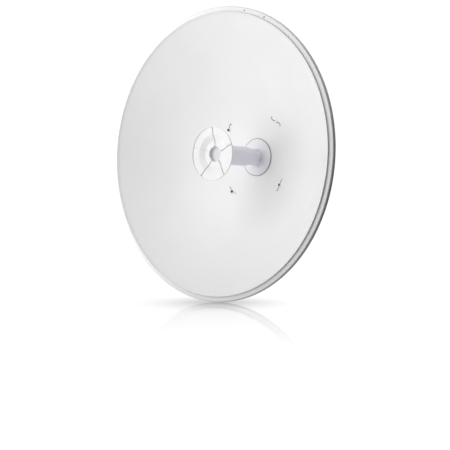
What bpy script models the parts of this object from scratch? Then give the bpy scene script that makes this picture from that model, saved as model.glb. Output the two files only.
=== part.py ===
"""A small front-fed dish antenna: a pressed bowl, its feed, and the bracket behind it.

Metres, +Z up. The dish looks along -Y. The origin is the centre of the flat rear
face of the mast plate, where the antenna is bolted to what carries it.
"""

import math

import bmesh
import bpy
from mathutils import Matrix, Vector

# Bowl
EDGE_RADIUS = 0.315
BOWL_DEPTH = 0.143
SHEET = 0.002
HUB_HOLE_RADIUS = 0.036
BOWL_STEPS = 9
BOWL_BACK_STEPS = 6
BOWL_SEGMENTS = 64

# Rim, outside the end of the bowl's curve
BOWL_END = 0.3126
STEP_RADIUS = 0.3150
STEP_DEPTH = 0.0040
FLANGE_RADIUS = 0.3216
RIM_RADIUS = 0.3255
RIM_DEPTH = 0.0116
RIM_BACK_RADIUS = 0.306
RIM_HOLE_RADIUS = 0.0017
RIM_HOLE_CIRCLE = 0.3205
RIM_HOLE_ANGLES = (76.0, 65.0)

# Feed, from the front to the bowl
FEED_SEGMENTS = 40
CAP_RADIUS = 0.0592
CAP_FRONT = 0.0103
CAP_LIP = 0.0014
CAP_SHELF = 0.0026
CAP_CONE_TOP = 0.0401
CAP_CONE_FOOT = 0.0303
CAP_RING = 0.0088
CAP_EDGE = 0.0032
CAP_BACK_RADIUS = 0.0340
CAP_THICKNESS = 0.0128
MOUTH_RADIUS = 0.0168
MOUTH_DEPTH = 0.0205
GROOVE_COUNT = 5
GROOVE_WIDTH = 0.0018
GROOVE_DEPTH = 0.0016
GROOVE_FIRST_ANGLE = 90.3
SLEEVE_RADIUS = 0.0216
SLEEVE_END = 0.0995
TUBE_RADIUS = 0.019
TUBE_END = 0.122
BASE_RADIUS = 0.0423
BASE_FRONT = 0.1385
BASE_BACK = 0.1401
BASE_SPIGOT_RADIUS = 0.0355

# Bolts that hold the bowl to its back plate
BOLT_CIRCLE = 0.1004
BOLT_FIRST_ANGLE = 49.25
PAD_RADIUS = 0.009
PAD_WALL = 0.002
PAD_THICKNESS = 0.0026
PAD_SKIRT = 0.0056
BOLT_RADIUS = 0.0029
BOLT_HOLE_RADIUS = 0.0033
BOLT_NUT_FLATS = 0.010
BOLT_NUT_HEIGHT = 0.005
DOME_RADIUS = 0.0055
DOME_HEIGHT = 0.0014
SPACER_RADIUS = 0.008
BOLT_OVERRUN = 0.003

# Hub behind the bowl
COLLAR_RADIUS = 0.046
COLLAR_FRONT = 0.1435
HUB_RADIUS = 0.038
HUB_END = 0.186
COVER_RADIUS = 0.040
COVER_THICKNESS = 0.0065
COVER_ROUND = 0.0025
CONNECTOR_SPACING = 0.032
CONNECTOR_FLATS = 0.018
CONNECTOR_BASE = 0.003
CONNECTOR_RADIUS = 0.0075
CONNECTOR_LENGTH = 0.013
CONNECTOR_CAP_RADIUS = 0.009
CONNECTOR_CAP_LENGTH = 0.008

# Bracket
PLATE = 0.004
PLATE_FRONT = 0.152
BACK_PLATE_SIDE = 0.180
BACK_PLATE_CORNER = 0.016
PLATE_SLOT_SWING = 7.0
CHEEK_CENTRE = 0.055
CHEEK_HALF_HEIGHT = 0.062
CHEEK_NOSE = 0.238
CHEEK_NOSE_ROUND = 0.020
PIVOT_DEPTH = 0.216
PIVOT_HEIGHT = -0.028
SLOT_REACH = 0.056
SLOT_SWING = 18.0
ARM_START = 0.198
ARM_HALF_HEIGHT = 0.048
ARM_ROUND = 0.018
MAST_PLATE_WIDTH = 0.120
MAST_PLATE_HEIGHT = 0.140
MAST_PLATE_CORNER = 0.010
MAST_SLOT_X = 0.036
MAST_SLOT_Z = 0.048
MAST_SLOT_LENGTH = 0.022
MAST_SLOT_RADIUS = 0.0045
JOINT_BOLT_RADIUS = 0.0039
JOINT_HOLE_RADIUS = 0.0043
NUT_ACROSS_FLATS = 0.013
NUT_HEIGHT = 0.0065
WASHER_RADIUS = 0.009
WASHER_THICKNESS = 0.0016

GAP = 0.0003
ROUND_SEGMENTS = 16
CORNER_STEPS = 5

# The mast face is this far behind the plane of the bowl's edge
RIM_TO_MOUNT = 0.250

FOCUS = EDGE_RADIUS ** 2 / (4.0 * BOWL_DEPTH)
FACING = (math.pi / 2, 0.0, 0.0)
SIDEWAYS = (math.pi / 2, 0.0, math.pi / 2)
PLATE_BACK = PLATE_FRONT + PLATE
ARM_CENTRE = CHEEK_CENTRE - PLATE - GAP


def clear_scene():
    for item in list(bpy.data.objects):
        bpy.data.objects.remove(item, do_unlink=True)


def collection(name, hidden=False):
    group = bpy.data.collections.new(name)
    bpy.context.scene.collection.children.link(group)
    group.hide_render = hidden
    return group


def material(name, color, roughness, metallic=0.0):
    made = bpy.data.materials.new(name)
    made.use_nodes = True
    shader = made.node_tree.nodes["Principled BSDF"]
    shader.inputs["Base Color"].default_value = (*color, 1.0)
    shader.inputs["Roughness"].default_value = roughness
    shader.inputs["Metallic"].default_value = metallic
    return made


def place(name, mesh, group, finish, location, rotation):
    item = bpy.data.objects.new(name, mesh)
    item.location = location
    item.rotation_euler = rotation
    if finish is not None:
        if not mesh.materials:
            mesh.materials.append(finish)
    group.objects.link(item)
    return item


def smooth(mesh, angle=30.0):
    mesh.shade_smooth()
    mesh.set_sharp_from_angle(angle=math.radians(angle))


def as_cutter(item):
    item.hide_render = True
    item.display_type = "WIRE"
    return item


def evaluated_mesh(item, name):
    """The object's shape as a plain mesh, with its loose caps welded."""
    bpy.context.view_layer.update()
    graph = bpy.context.evaluated_depsgraph_get()
    mesh = bpy.data.meshes.new_from_object(item.evaluated_get(graph))
    mesh.name = name
    work = bmesh.new()
    work.from_mesh(mesh)
    bmesh.ops.remove_doubles(work, verts=work.verts, dist=0.00001)
    bmesh.ops.recalc_face_normals(work, faces=work.faces)
    work.to_mesh(mesh)
    work.free()
    bpy.data.objects.remove(item, do_unlink=True)
    return mesh


def turned_mesh(name, profile, segments, ring=False):
    """Turn a profile of (radius, height) points about the local Z axis.

    A ring's profile is a closed loop. Any other profile runs from the axis at the
    top, down the outer side, to the axis at the bottom.
    """
    mesh = bpy.data.meshes.new(name)
    work = bmesh.new()
    corners = [work.verts.new((radius, 0.0, height)) for radius, height in profile]
    for first, second in zip(corners, corners[1:]):
        work.edges.new((first, second))
    if ring:
        work.edges.new((corners[-1], corners[0]))
    work.to_mesh(mesh)
    work.free()
    item = bpy.data.objects.new(name, mesh)
    bpy.context.scene.collection.objects.link(item)
    screw = item.modifiers.new("Turn", "SCREW")
    screw.axis = "Z"
    screw.angle = math.tau
    screw.steps = segments
    screw.render_steps = segments
    screw.use_merge_vertices = True
    screw.merge_threshold = 0.00005
    result = evaluated_mesh(item, name)
    smooth(result)
    return result


def arc(centre, radius, start, end, steps=CORNER_STEPS):
    """Points on an arc, with angles in degrees."""
    points = []
    for index in range(steps + 1):
        angle = math.radians(start + (end - start) * index / steps)
        points.append((centre[0] + radius * math.cos(angle), centre[1] + radius * math.sin(angle)))
    return points


def circle(centre, radius, segments=ROUND_SEGMENTS):
    return arc(centre, radius, 0.0, 360.0 * (segments - 1) / segments, segments - 1)


def hexagon(across_flats):
    return circle((0.0, 0.0), across_flats / math.sqrt(3.0), 6)


def rounded_box(width, height, corner):
    half_width = width / 2 - corner
    half_height = height / 2 - corner
    points = arc((half_width, half_height), corner, 0, 90)
    points += arc((-half_width, half_height), corner, 90, 180)
    points += arc((-half_width, -half_height), corner, 180, 270)
    points += arc((half_width, -half_height), corner, 270, 360)
    return points


def straight_slot(centre, length, radius):
    """A slot along the outline's first axis."""
    reach = length / 2 - radius
    points = arc((centre[0] + reach, centre[1]), radius, -90, 90)
    points += arc((centre[0] - reach, centre[1]), radius, 90, 270)
    return points


def arc_slot(centre, reach, swing, radius, middle=90.0):
    """A slot that follows an arc about a centre."""
    first = middle - swing
    last = middle + swing
    points = arc(centre, reach + radius, first, last)
    points += arc(arc(centre, reach, last, last, 1)[0], radius, last, last + 180)[1:-1]
    points += arc(centre, reach - radius, last, first)
    points += arc(arc(centre, reach, first, first, 1)[0], radius, first + 180, first + 360)[1:-1]
    return points


def flat_mesh(name, outlines, thickness):
    """A flat piece: the first outline is its edge and the others are holes in it."""
    curve = bpy.data.curves.new(name, "CURVE")
    curve.dimensions = "2D"
    curve.fill_mode = "BOTH"
    curve.extrude = thickness / 2
    for outline in outlines:
        spline = curve.splines.new("POLY")
        spline.points.add(len(outline) - 1)
        for point, (across, up) in zip(spline.points, outline):
            point.co = (across, up, 0.0, 1.0)
        spline.use_cyclic_u = True
    item = bpy.data.objects.new(name, curve)
    bpy.context.scene.collection.objects.link(item)
    mesh = evaluated_mesh(item, name)
    bpy.data.curves.remove(curve)
    smooth(mesh)
    return mesh


def cylinders(name, centres, radius, low, high, segments=ROUND_SEGMENTS):
    """Upright cylinders in one mesh, each with its own centre."""
    mesh = bpy.data.meshes.new(name)
    work = bmesh.new()
    for across, up in centres:
        made = bmesh.ops.create_cone(work, cap_ends=True, segments=segments, radius1=radius,
                                     radius2=radius, depth=high - low)
        bmesh.ops.translate(work, verts=made["verts"], vec=(across, up, (low + high) / 2))
    work.to_mesh(mesh)
    work.free()
    return mesh


def boolean(item, other, operation):
    change = item.modifiers.new(operation.title(), "BOOLEAN")
    change.operation = operation
    change.solver = "EXACT"
    change.object = other


def mount_y(depth):
    """World Y of a depth behind the plane of the bowl's edge."""
    return depth - RIM_TO_MOUNT


def bowl_height(radius):
    """Local height of the bowl's front surface, from the plane of its edge."""
    return radius ** 2 / (4.0 * FOCUS) - BOWL_DEPTH


def bowl_behind(radius, distance):
    """A point behind the bowl's front surface, square to it."""
    slope = radius / (2.0 * FOCUS)
    length = math.sqrt(1.0 + slope ** 2)
    return (radius + distance * slope / length, bowl_height(radius) - distance / length)


PAD_FLOOR = bowl_height(BOLT_CIRCLE)
BOLT_CENTRES = [arc((0.0, 0.0), BOLT_CIRCLE, angle, angle, 1)[0]
                for angle in (BOLT_FIRST_ANGLE + 90.0 * step for step in range(4))]


def on_axis(name, mesh, group, finish, across=0.0, up=0.0):
    """Place a piece that is drawn about the dish's own axis."""
    return place(name, mesh, group, finish, (across, mount_y(0.0), up), FACING)


def bowl_section():
    """The cut through the pressed sheet, from the hub hole out to the rim and back."""
    span = BOWL_END - HUB_HOLE_RADIUS
    radii = [HUB_HOLE_RADIUS + span * step / BOWL_STEPS for step in range(BOWL_STEPS + 1)]
    front = [(radius, bowl_height(radius)) for radius in radii]
    rim = [(BOWL_END + 0.0005, bowl_height(BOWL_END) + 0.0004),
           (STEP_RADIUS, -STEP_DEPTH),
           (FLANGE_RADIUS, -STEP_DEPTH - 0.0012),
           (RIM_RADIUS - 0.0016, -STEP_DEPTH - 0.0024),
           (RIM_RADIUS, -STEP_DEPTH - 0.0046),
           (RIM_RADIUS, -RIM_DEPTH),
           (RIM_RADIUS - SHEET, -RIM_DEPTH),
           (RIM_RADIUS - SHEET, -STEP_DEPTH - 0.0052),
           (FLANGE_RADIUS - 0.0010, -STEP_DEPTH - 0.0031),
           (STEP_RADIUS, -STEP_DEPTH - 0.0024)]
    back_span = RIM_BACK_RADIUS - HUB_HOLE_RADIUS
    back_steps = range(BOWL_BACK_STEPS + 1)
    back_radii = [RIM_BACK_RADIUS - back_span * step / BOWL_BACK_STEPS for step in back_steps]
    back = [bowl_behind(radius, SHEET) for radius in back_radii]
    return front + rim + back


def make_reflector(parts, cutters, paint):
    mesh = turned_mesh("reflector", bowl_section(), BOWL_SEGMENTS, ring=True)
    reflector = on_axis("reflector", mesh, parts, paint)

    outer = PAD_RADIUS + PAD_WALL
    core_radii = [EDGE_RADIUS * step / BOWL_STEPS for step in range(BOWL_STEPS + 1)]
    core_profile = [bowl_behind(radius, SHEET / 2) for radius in core_radii]
    core_profile += [(core_profile[-1][0], -BOWL_DEPTH - 0.05), (0.0, -BOWL_DEPTH - 0.05)]
    core = on_axis("bowl_core", turned_mesh("bowl_core", core_profile, BOWL_SEGMENTS), cutters, None)
    as_cutter(core)

    cups = cylinders("pad_cups", BOLT_CENTRES, outer, PAD_FLOOR - PAD_SKIRT, PAD_FLOOR + 0.02)
    cups = as_cutter(on_axis("pad_cups", cups, cutters, None))
    boolean(cups, core, "INTERSECT")
    floors = cylinders("pad_floors", BOLT_CENTRES, outer, PAD_FLOOR - PAD_SKIRT, PAD_FLOOR)
    floors = as_cutter(on_axis("pad_floors", floors, cutters, None))
    pockets = cylinders("pad_pockets", BOLT_CENTRES, PAD_RADIUS, PAD_FLOOR, PAD_FLOOR + 0.02)
    pockets = as_cutter(on_axis("pad_pockets", pockets, cutters, None))
    backs = cylinders("pad_backs", BOLT_CENTRES, PAD_RADIUS, PAD_FLOOR - 0.02, PAD_FLOOR - PAD_THICKNESS)
    backs = as_cutter(on_axis("pad_backs", backs, cutters, None))
    holes = cylinders("bolt_holes", BOLT_CENTRES, BOLT_HOLE_RADIUS, PAD_FLOOR - 0.02, PAD_FLOOR + 0.02)
    holes = as_cutter(on_axis("bolt_holes", holes, cutters, None))
    rim_centres = [arc((0.0, 0.0), RIM_HOLE_CIRCLE, angle, angle, 1)[0] for angle in RIM_HOLE_ANGLES]
    rim_holes = cylinders("rim_holes", rim_centres, RIM_HOLE_RADIUS, -0.02, 0.01, 10)
    rim_holes = as_cutter(on_axis("rim_holes", rim_holes, cutters, None))

    boolean(reflector, cups, "UNION")
    boolean(reflector, floors, "UNION")
    boolean(reflector, pockets, "DIFFERENCE")
    boolean(reflector, backs, "DIFFERENCE")
    boolean(reflector, holes, "DIFFERENCE")
    boolean(reflector, rim_holes, "DIFFERENCE")


def cap_front_profile(sink=0.0):
    """The face of the feed's cap from the lip to the mouth, as (radius, height)."""
    lip = CAP_RADIUS - CAP_LIP
    return [(lip, CAP_FRONT - sink),
            (lip - 0.0006, CAP_FRONT - CAP_SHELF + 0.0003 - sink),
            (CAP_CONE_TOP, CAP_FRONT - CAP_SHELF - sink),
            (CAP_CONE_FOOT, CAP_FRONT - CAP_RING - sink),
            (MOUTH_RADIUS, CAP_FRONT - CAP_RING - sink)]


def make_cap(parts, cutters, plastic):
    inward = cap_front_profile()
    outer = [(CAP_RADIUS - 0.0005, CAP_FRONT),
             (CAP_RADIUS, CAP_FRONT - 0.0005),
             (CAP_RADIUS, CAP_FRONT - CAP_EDGE),
             (CAP_RADIUS - 0.004, CAP_FRONT - CAP_EDGE - 0.002),
             (CAP_BACK_RADIUS, CAP_FRONT - CAP_THICKNESS),
             (MOUTH_RADIUS, CAP_FRONT - CAP_THICKNESS)]
    section = list(reversed(inward)) + outer
    cap = on_axis("feed_cap", turned_mesh("feed_cap", section, FEED_SEGMENTS, ring=True), parts, plastic)

    below = cap_front_profile(GROOVE_DEPTH)
    inner = MOUTH_RADIUS - 0.002
    above = CAP_FRONT + 0.002
    outline = below[:-1] + [(inner, below[-1][1]), (inner, above), (CAP_RADIUS - CAP_LIP, above)]
    for index in range(GROOVE_COUNT):
        name = f"groove_{index + 1}"
        angle = math.radians(GROOVE_FIRST_ANGLE + 360.0 * index / GROOVE_COUNT)
        mesh = flat_mesh(name, [outline], GROOVE_WIDTH)
        groove = place(name, mesh, cutters, None, (0.0, mount_y(0.0), 0.0), radial_turn(angle))
        boolean(cap, as_cutter(groove), "DIFFERENCE")


def radial_turn(angle):
    """The rotation that stands a (radius, height) outline at an angle round the dish's axis."""
    outward = Vector((math.cos(angle), 0.0, math.sin(angle)))
    forward = Vector((0.0, -1.0, 0.0))
    side = outward.cross(forward)
    return Matrix((outward, forward, side)).transposed().to_euler("XYZ")


def make_feed(parts, paint, plastic):
    top = CAP_FRONT - CAP_THICKNESS - GAP
    floor = CAP_FRONT - MOUTH_DEPTH
    sleeve = [(0.0, floor), (MOUTH_RADIUS, floor), (MOUTH_RADIUS, top), (SLEEVE_RADIUS, top),
              (SLEEVE_RADIUS, -SLEEVE_END + 0.001), (SLEEVE_RADIUS - 0.001, -SLEEVE_END), (0.0, -SLEEVE_END)]
    on_axis("feed_sleeve", turned_mesh("feed_sleeve", sleeve, FEED_SEGMENTS), parts, plastic)

    tube = [(0.0, -SLEEVE_END - GAP), (TUBE_RADIUS, -SLEEVE_END - GAP), (TUBE_RADIUS, -TUBE_END), (0.0, -TUBE_END)]
    on_axis("feed_tube", turned_mesh("feed_tube", tube, FEED_SEGMENTS), parts, paint)

    skirt_foot = 0.033
    base = [(0.0, -TUBE_END - GAP)]
    flare_drop = BASE_FRONT - TUBE_END - GAP
    for step in range(8):
        turn = math.radians(90.0 * step / 7)
        radius = skirt_foot - (skirt_foot - TUBE_RADIUS) * math.cos(turn)
        base.append((radius, -TUBE_END - GAP - flare_drop * math.sin(turn)))
    base += [(BASE_RADIUS - 0.0008, -BASE_FRONT), (BASE_RADIUS, -BASE_FRONT - 0.0006), (BASE_RADIUS, -BASE_BACK),
             (BASE_SPIGOT_RADIUS, -BASE_BACK), (BASE_SPIGOT_RADIUS, -COLLAR_FRONT + GAP),
             (0.0, -COLLAR_FRONT + GAP)]
    on_axis("feed_base_flange", turned_mesh("feed_base_flange", base, FEED_SEGMENTS), parts, paint)


def make_hub(parts, plastic, metal):
    collar_back = PLATE_FRONT - GAP
    collar = [(0.0, -COLLAR_FRONT), (COLLAR_RADIUS - 0.001, -COLLAR_FRONT), (COLLAR_RADIUS, -COLLAR_FRONT - 0.001),
              (COLLAR_RADIUS, -collar_back), (0.0, -collar_back)]
    on_axis("rear_collar", turned_mesh("rear_collar", collar, FEED_SEGMENTS), parts, metal)

    hub = [(0.0, -PLATE_FRONT), (HUB_RADIUS, -PLATE_FRONT), (HUB_RADIUS, -HUB_END), (0.0, -HUB_END)]
    on_axis("hub_housing", turned_mesh("hub_housing", hub, FEED_SEGMENTS), parts, plastic)

    front = HUB_END + GAP
    back = front + COVER_THICKNESS
    cover = [(0.0, -front), (COVER_RADIUS, -front)]
    cover += [(COVER_RADIUS - COVER_ROUND + x, -back + COVER_ROUND + z)
              for x, z in arc((0.0, 0.0), COVER_ROUND, 0, -90, 4)]
    cover += [(0.0, -back)]
    on_axis("hub_cover", turned_mesh("hub_cover", cover, FEED_SEGMENTS), parts, plastic)
    return back


def make_connectors(parts, cutters, metal, rubber, start):
    for side, across in (("left", -CONNECTOR_SPACING / 2), ("right", CONNECTOR_SPACING / 2)):
        name = f"connector_{side}"
        middle = start + GAP + CONNECTOR_BASE / 2
        nut = flat_mesh(name, [hexagon(CONNECTOR_FLATS)], CONNECTOR_BASE)
        base = place(name, nut, parts, metal, (across, mount_y(middle), 0.0), FACING)
        end = start + GAP + CONNECTOR_LENGTH
        barrel = cylinders(f"barrel_{side}", [(0.0, 0.0)], CONNECTOR_RADIUS, -end, -start - GAP - 0.001)
        barrel = as_cutter(on_axis(f"barrel_{side}", barrel, cutters, None, across))
        boolean(base, barrel, "UNION")
        cap_start = end + GAP
        cap_end = cap_start + CONNECTOR_CAP_LENGTH
        cap = [(0.0, -cap_start), (CONNECTOR_CAP_RADIUS, -cap_start), (CONNECTOR_CAP_RADIUS, -cap_end + 0.0012),
               (CONNECTOR_CAP_RADIUS - 0.0012, -cap_end), (0.0, -cap_end)]
        mesh = turned_mesh(f"connector_cap_{side}", cap, ROUND_SEGMENTS)
        on_axis(f"connector_cap_{side}", mesh, parts, rubber, across)


def make_bowl_fixings(parts, paint, steel):
    """The four bolts through the bowl, with the spacers and nuts behind it."""
    crown = PAD_FLOOR + GAP + DOME_HEIGHT
    seat = PAD_FLOOR + GAP
    end = PLATE_BACK + GAP + BOLT_NUT_HEIGHT + BOLT_OVERRUN
    bolt = [(0.0, crown), (0.7 * DOME_RADIUS, crown - 0.3 * DOME_HEIGHT), (DOME_RADIUS, seat + 0.3 * DOME_HEIGHT),
            (DOME_RADIUS, seat), (BOLT_RADIUS, seat), (BOLT_RADIUS, -end), (0.0, -end)]
    bolt_mesh = turned_mesh("reflector_bolt", bolt, ROUND_SEGMENTS)

    spacer_front = -PAD_FLOOR + PAD_THICKNESS + GAP
    spacer_length = PLATE_FRONT - GAP - spacer_front
    spacer_mesh = flat_mesh("spacer", [circle((0, 0), SPACER_RADIUS), circle((0, 0), BOLT_HOLE_RADIUS)], spacer_length)
    nut_outline = [hexagon(BOLT_NUT_FLATS), circle((0, 0), BOLT_HOLE_RADIUS)]
    nut_mesh = flat_mesh("reflector_nut", nut_outline, BOLT_NUT_HEIGHT)

    spacer_y = mount_y(spacer_front + spacer_length / 2)
    nut_y = mount_y(PLATE_BACK + GAP + BOLT_NUT_HEIGHT / 2)
    for number, (across, up) in enumerate(BOLT_CENTRES, 1):
        on_axis(f"reflector_bolt_{number}", bolt_mesh, parts, paint, across, up)
        place(f"spacer_{number}", spacer_mesh, parts, steel, (across, spacer_y, up), FACING)
        place(f"reflector_nut_{number}", nut_mesh, parts, steel, (across, nut_y, up), FACING)


def make_back_plate(parts, paint):
    """A plate behind the bowl, with curved slots that let the dish be turned a little."""
    holes = [arc_slot((0.0, 0.0), BOLT_CIRCLE, PLATE_SLOT_SWING, BOLT_HOLE_RADIUS, 45.0 + 90.0 * step)
             for step in range(4)]
    holes.append(circle((0.0, 0.0), HUB_RADIUS + GAP, FEED_SEGMENTS))
    outline = rounded_box(BACK_PLATE_SIDE, BACK_PLATE_SIDE, BACK_PLATE_CORNER)
    mesh = flat_mesh("back_plate", [outline] + holes, PLATE)
    place("back_plate", mesh, parts, paint, (0.0, mount_y(PLATE_FRONT + PLATE / 2), 0.0), FACING)


def make_cheeks(parts, paint):
    """Two plates on the back plate, with the pivot hole and the curved elevation slot."""
    pivot = (mount_y(PIVOT_DEPTH), PIVOT_HEIGHT)
    root = mount_y(PLATE_BACK + GAP)
    nose = mount_y(CHEEK_NOSE) - CHEEK_NOSE_ROUND
    nose_half = 0.048 - CHEEK_NOSE_ROUND
    outline = [(root, CHEEK_HALF_HEIGHT), (root, -CHEEK_HALF_HEIGHT)]
    outline += arc((nose, -nose_half), CHEEK_NOSE_ROUND, -90, 0)
    outline += arc((nose, nose_half), CHEEK_NOSE_ROUND, 0, 90)
    slot = arc_slot(pivot, SLOT_REACH, SLOT_SWING, JOINT_HOLE_RADIUS)
    mesh = flat_mesh("cheek", [outline, circle(pivot, JOINT_HOLE_RADIUS), slot], PLATE)
    place("cheek_left", mesh, parts, paint, (-CHEEK_CENTRE, 0.0, 0.0), SIDEWAYS)
    place("cheek_right", mesh, parts, paint, (CHEEK_CENTRE, 0.0, 0.0), SIDEWAYS)


def make_mast_bracket(parts, paint):
    """Two arms inside the cheeks and the flat plate that bolts to the mast."""
    pivot = (mount_y(PIVOT_DEPTH), PIVOT_HEIGHT)
    lock = (pivot[0], PIVOT_HEIGHT + SLOT_REACH)
    back = mount_y(RIM_TO_MOUNT - PLATE - GAP)
    start = mount_y(ARM_START) + ARM_ROUND
    half = ARM_HALF_HEIGHT - ARM_ROUND
    outline = [(back, -ARM_HALF_HEIGHT), (back, ARM_HALF_HEIGHT)]
    outline += arc((start, half), ARM_ROUND, 90, 180)
    outline += arc((start, -half), ARM_ROUND, 180, 270)
    holes = [circle(pivot, JOINT_HOLE_RADIUS), circle(lock, JOINT_HOLE_RADIUS)]
    mesh = flat_mesh("arm", [outline] + holes, PLATE)
    place("arm_left", mesh, parts, paint, (-ARM_CENTRE, 0.0, 0.0), SIDEWAYS)
    place("arm_right", mesh, parts, paint, (ARM_CENTRE, 0.0, 0.0), SIDEWAYS)

    outline = rounded_box(MAST_PLATE_WIDTH, MAST_PLATE_HEIGHT, MAST_PLATE_CORNER)
    slots = [straight_slot((x, z), MAST_SLOT_LENGTH, MAST_SLOT_RADIUS)
             for x in (-MAST_SLOT_X, MAST_SLOT_X) for z in (-MAST_SLOT_Z, MAST_SLOT_Z)]
    mesh = flat_mesh("mast_plate", [outline] + slots, PLATE)
    place("mast_plate", mesh, parts, paint, (0.0, -PLATE / 2, 0.0), FACING)


def make_joint_bolts(parts, cutters, steel):
    """Bolts through cheek and arm: a pivot below and a clamping bolt in the slot above."""
    cheek_face = CHEEK_CENTRE + PLATE / 2
    arm_face = ARM_CENTRE - PLATE / 2
    washer_at = cheek_face + GAP + WASHER_THICKNESS / 2
    head_at = cheek_face + 2 * GAP + WASHER_THICKNESS + NUT_HEIGHT / 2
    nut_at = arm_face - GAP - NUT_HEIGHT / 2
    shank_end = arm_face - GAP - NUT_HEIGHT - BOLT_OVERRUN
    washer_mesh = flat_mesh("washer", [circle((0, 0), WASHER_RADIUS), circle((0, 0), JOINT_HOLE_RADIUS)],
                            WASHER_THICKNESS)
    nut_mesh = flat_mesh("joint_nut", [hexagon(NUT_ACROSS_FLATS), circle((0, 0), JOINT_HOLE_RADIUS)], NUT_HEIGHT)
    for kind, height in (("pivot", PIVOT_HEIGHT), ("lock", PIVOT_HEIGHT + SLOT_REACH)):
        for side, sign in (("left", -1.0), ("right", 1.0)):
            spot_y = mount_y(PIVOT_DEPTH)
            head_mesh = flat_mesh(f"{kind}_bolt_{side}", [hexagon(NUT_ACROSS_FLATS)], NUT_HEIGHT)
            head = place(f"{kind}_bolt_{side}", head_mesh, parts, steel, (sign * head_at, spot_y, height), SIDEWAYS)
            low, high = sorted((sign * shank_end, sign * (head_at - 0.001)))
            shank = cylinders(f"{kind}_shank_{side}", [(0.0, 0.0)], JOINT_BOLT_RADIUS, low, high)
            shank = place(f"{kind}_shank_{side}", shank, cutters, None, (0.0, spot_y, height), SIDEWAYS)
            as_cutter(shank)
            boolean(head, shank, "UNION")
            place(f"{kind}_washer_{side}", washer_mesh, parts, steel, (sign * washer_at, spot_y, height), SIDEWAYS)
            place(f"{kind}_nut_{side}", nut_mesh, parts, steel, (sign * nut_at, spot_y, height), SIDEWAYS)


def main():
    clear_scene()
    parts = collection("dish_antenna")
    cutters = collection("cutters", hidden=True)
    bowl_paint = material("bowl_paint", (0.86, 0.86, 0.85), 0.32)
    feed_plastic = material("feed_plastic", (0.83, 0.83, 0.84), 0.42)
    bracket_paint = material("bracket_paint", (0.74, 0.75, 0.75), 0.5)
    hub_plastic = material("hub_plastic", (0.78, 0.79, 0.79), 0.45)
    steel = material("steel", (0.62, 0.63, 0.64), 0.35, 1.0)
    rubber = material("rubber", (0.06, 0.06, 0.06), 0.7)

    make_reflector(parts, cutters, bowl_paint)
    make_cap(parts, cutters, feed_plastic)
    make_feed(parts, feed_plastic, feed_plastic)
    cover_back = make_hub(parts, hub_plastic, steel)
    make_connectors(parts, cutters, steel, rubber, cover_back)
    make_bowl_fixings(parts, bowl_paint, steel)
    make_back_plate(parts, bracket_paint)
    make_cheeks(parts, bracket_paint)
    make_mast_bracket(parts, bracket_paint)
    make_joint_bolts(parts, cutters, steel)


main()
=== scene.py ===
import math

import bmesh
import bpy
import numpy as np
from mathutils import Matrix, Vector


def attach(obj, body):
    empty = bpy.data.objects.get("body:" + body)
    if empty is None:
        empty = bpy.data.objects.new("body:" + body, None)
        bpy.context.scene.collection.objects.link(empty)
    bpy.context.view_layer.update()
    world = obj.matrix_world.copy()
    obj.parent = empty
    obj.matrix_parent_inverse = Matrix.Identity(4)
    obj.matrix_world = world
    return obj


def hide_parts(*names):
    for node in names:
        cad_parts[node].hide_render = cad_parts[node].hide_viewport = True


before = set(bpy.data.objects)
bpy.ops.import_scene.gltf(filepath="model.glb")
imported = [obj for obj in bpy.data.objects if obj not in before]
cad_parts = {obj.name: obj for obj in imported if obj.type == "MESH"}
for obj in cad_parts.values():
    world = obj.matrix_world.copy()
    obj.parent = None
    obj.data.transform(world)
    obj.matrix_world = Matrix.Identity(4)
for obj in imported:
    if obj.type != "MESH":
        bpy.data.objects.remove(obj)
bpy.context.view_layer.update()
print("frame loaded:", len(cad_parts), "CAD nodes")

rimToMount = 0.250      # from the plane of the bowl's edge back to the mast face
gap = 0.0003            # between pieces that sit on each other
cutSpare = 0.002        # how far a cutter stands out of what it cuts
quarter = math.pi / 2
scene = bpy.context.scene


# Node tools

class Wire:
    # a node's output, which can take part in a sum
    def __init__(self, socket):
        self.socket = socket

    def __add__(self, other):
        return maths("ADD", self, other)

    def __sub__(self, other):
        return maths("SUBTRACT", self, other)

    def __rsub__(self, other):
        return maths("SUBTRACT", other, self)

    def __mul__(self, other):
        return maths("MULTIPLY", self, other)

    def __truediv__(self, other):
        return maths("DIVIDE", self, other)

    def __rtruediv__(self, other):
        return maths("DIVIDE", other, self)


class Made:
    # a new node, whose outputs are asked for by name or number
    def __init__(self, node):
        self.node = node

    def __getitem__(self, key):
        return Wire(self.node.outputs[key])


def plug(socket, value):
    if isinstance(value, Wire):
        socket.id_data.links.new(value.socket, socket)
    else:
        socket.default_value = value


def addNode(tree, kind, inputs=None, **settings):
    node = tree.nodes.new(kind)
    for key, value in settings.items():
        setattr(node, key, value)
    for key, value in (inputs or {}).items():
        plug(node.inputs[key], value)
    return Made(node)


def maths(operation, *values):
    tree = next(value for value in values if isinstance(value, Wire)).socket.id_data
    return addNode(tree, "ShaderNodeMath", dict(enumerate(values)), operation=operation)[0]


def ramped(value, low, high, first, last):
    # goes smoothly from first to last while the value goes from low to high
    limits = {"Value": value, "From Min": low, "From Max": high, "To Min": first, "To Max": last}
    return addNode(value.socket.id_data, "ShaderNodeMapRange", limits, interpolation_type="SMOOTHSTEP")["Result"]


def mixedColor(factor, first, second):
    colors = {0: factor, 6: first, 7: second}
    return addNode(factor.socket.id_data, "ShaderNodeMix", colors, data_type="RGBA")[2]


def vector(tree, **parts):
    return addNode(tree, "ShaderNodeCombineXYZ", parts)["Vector"]


def turnBy(tree, **angles):
    return addNode(tree, "FunctionNodeEulerToRotation", {"Euler": vector(tree, **angles)})["Rotation"]


def noise(tree, place, scale, detail, rough=0.5, warp=0.0):
    settings = {"Vector": place, "Scale": scale, "Detail": detail, "Roughness": rough, "Distortion": warp}
    return addNode(tree, "ShaderNodeTexNoise", settings)["Fac"]


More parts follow.
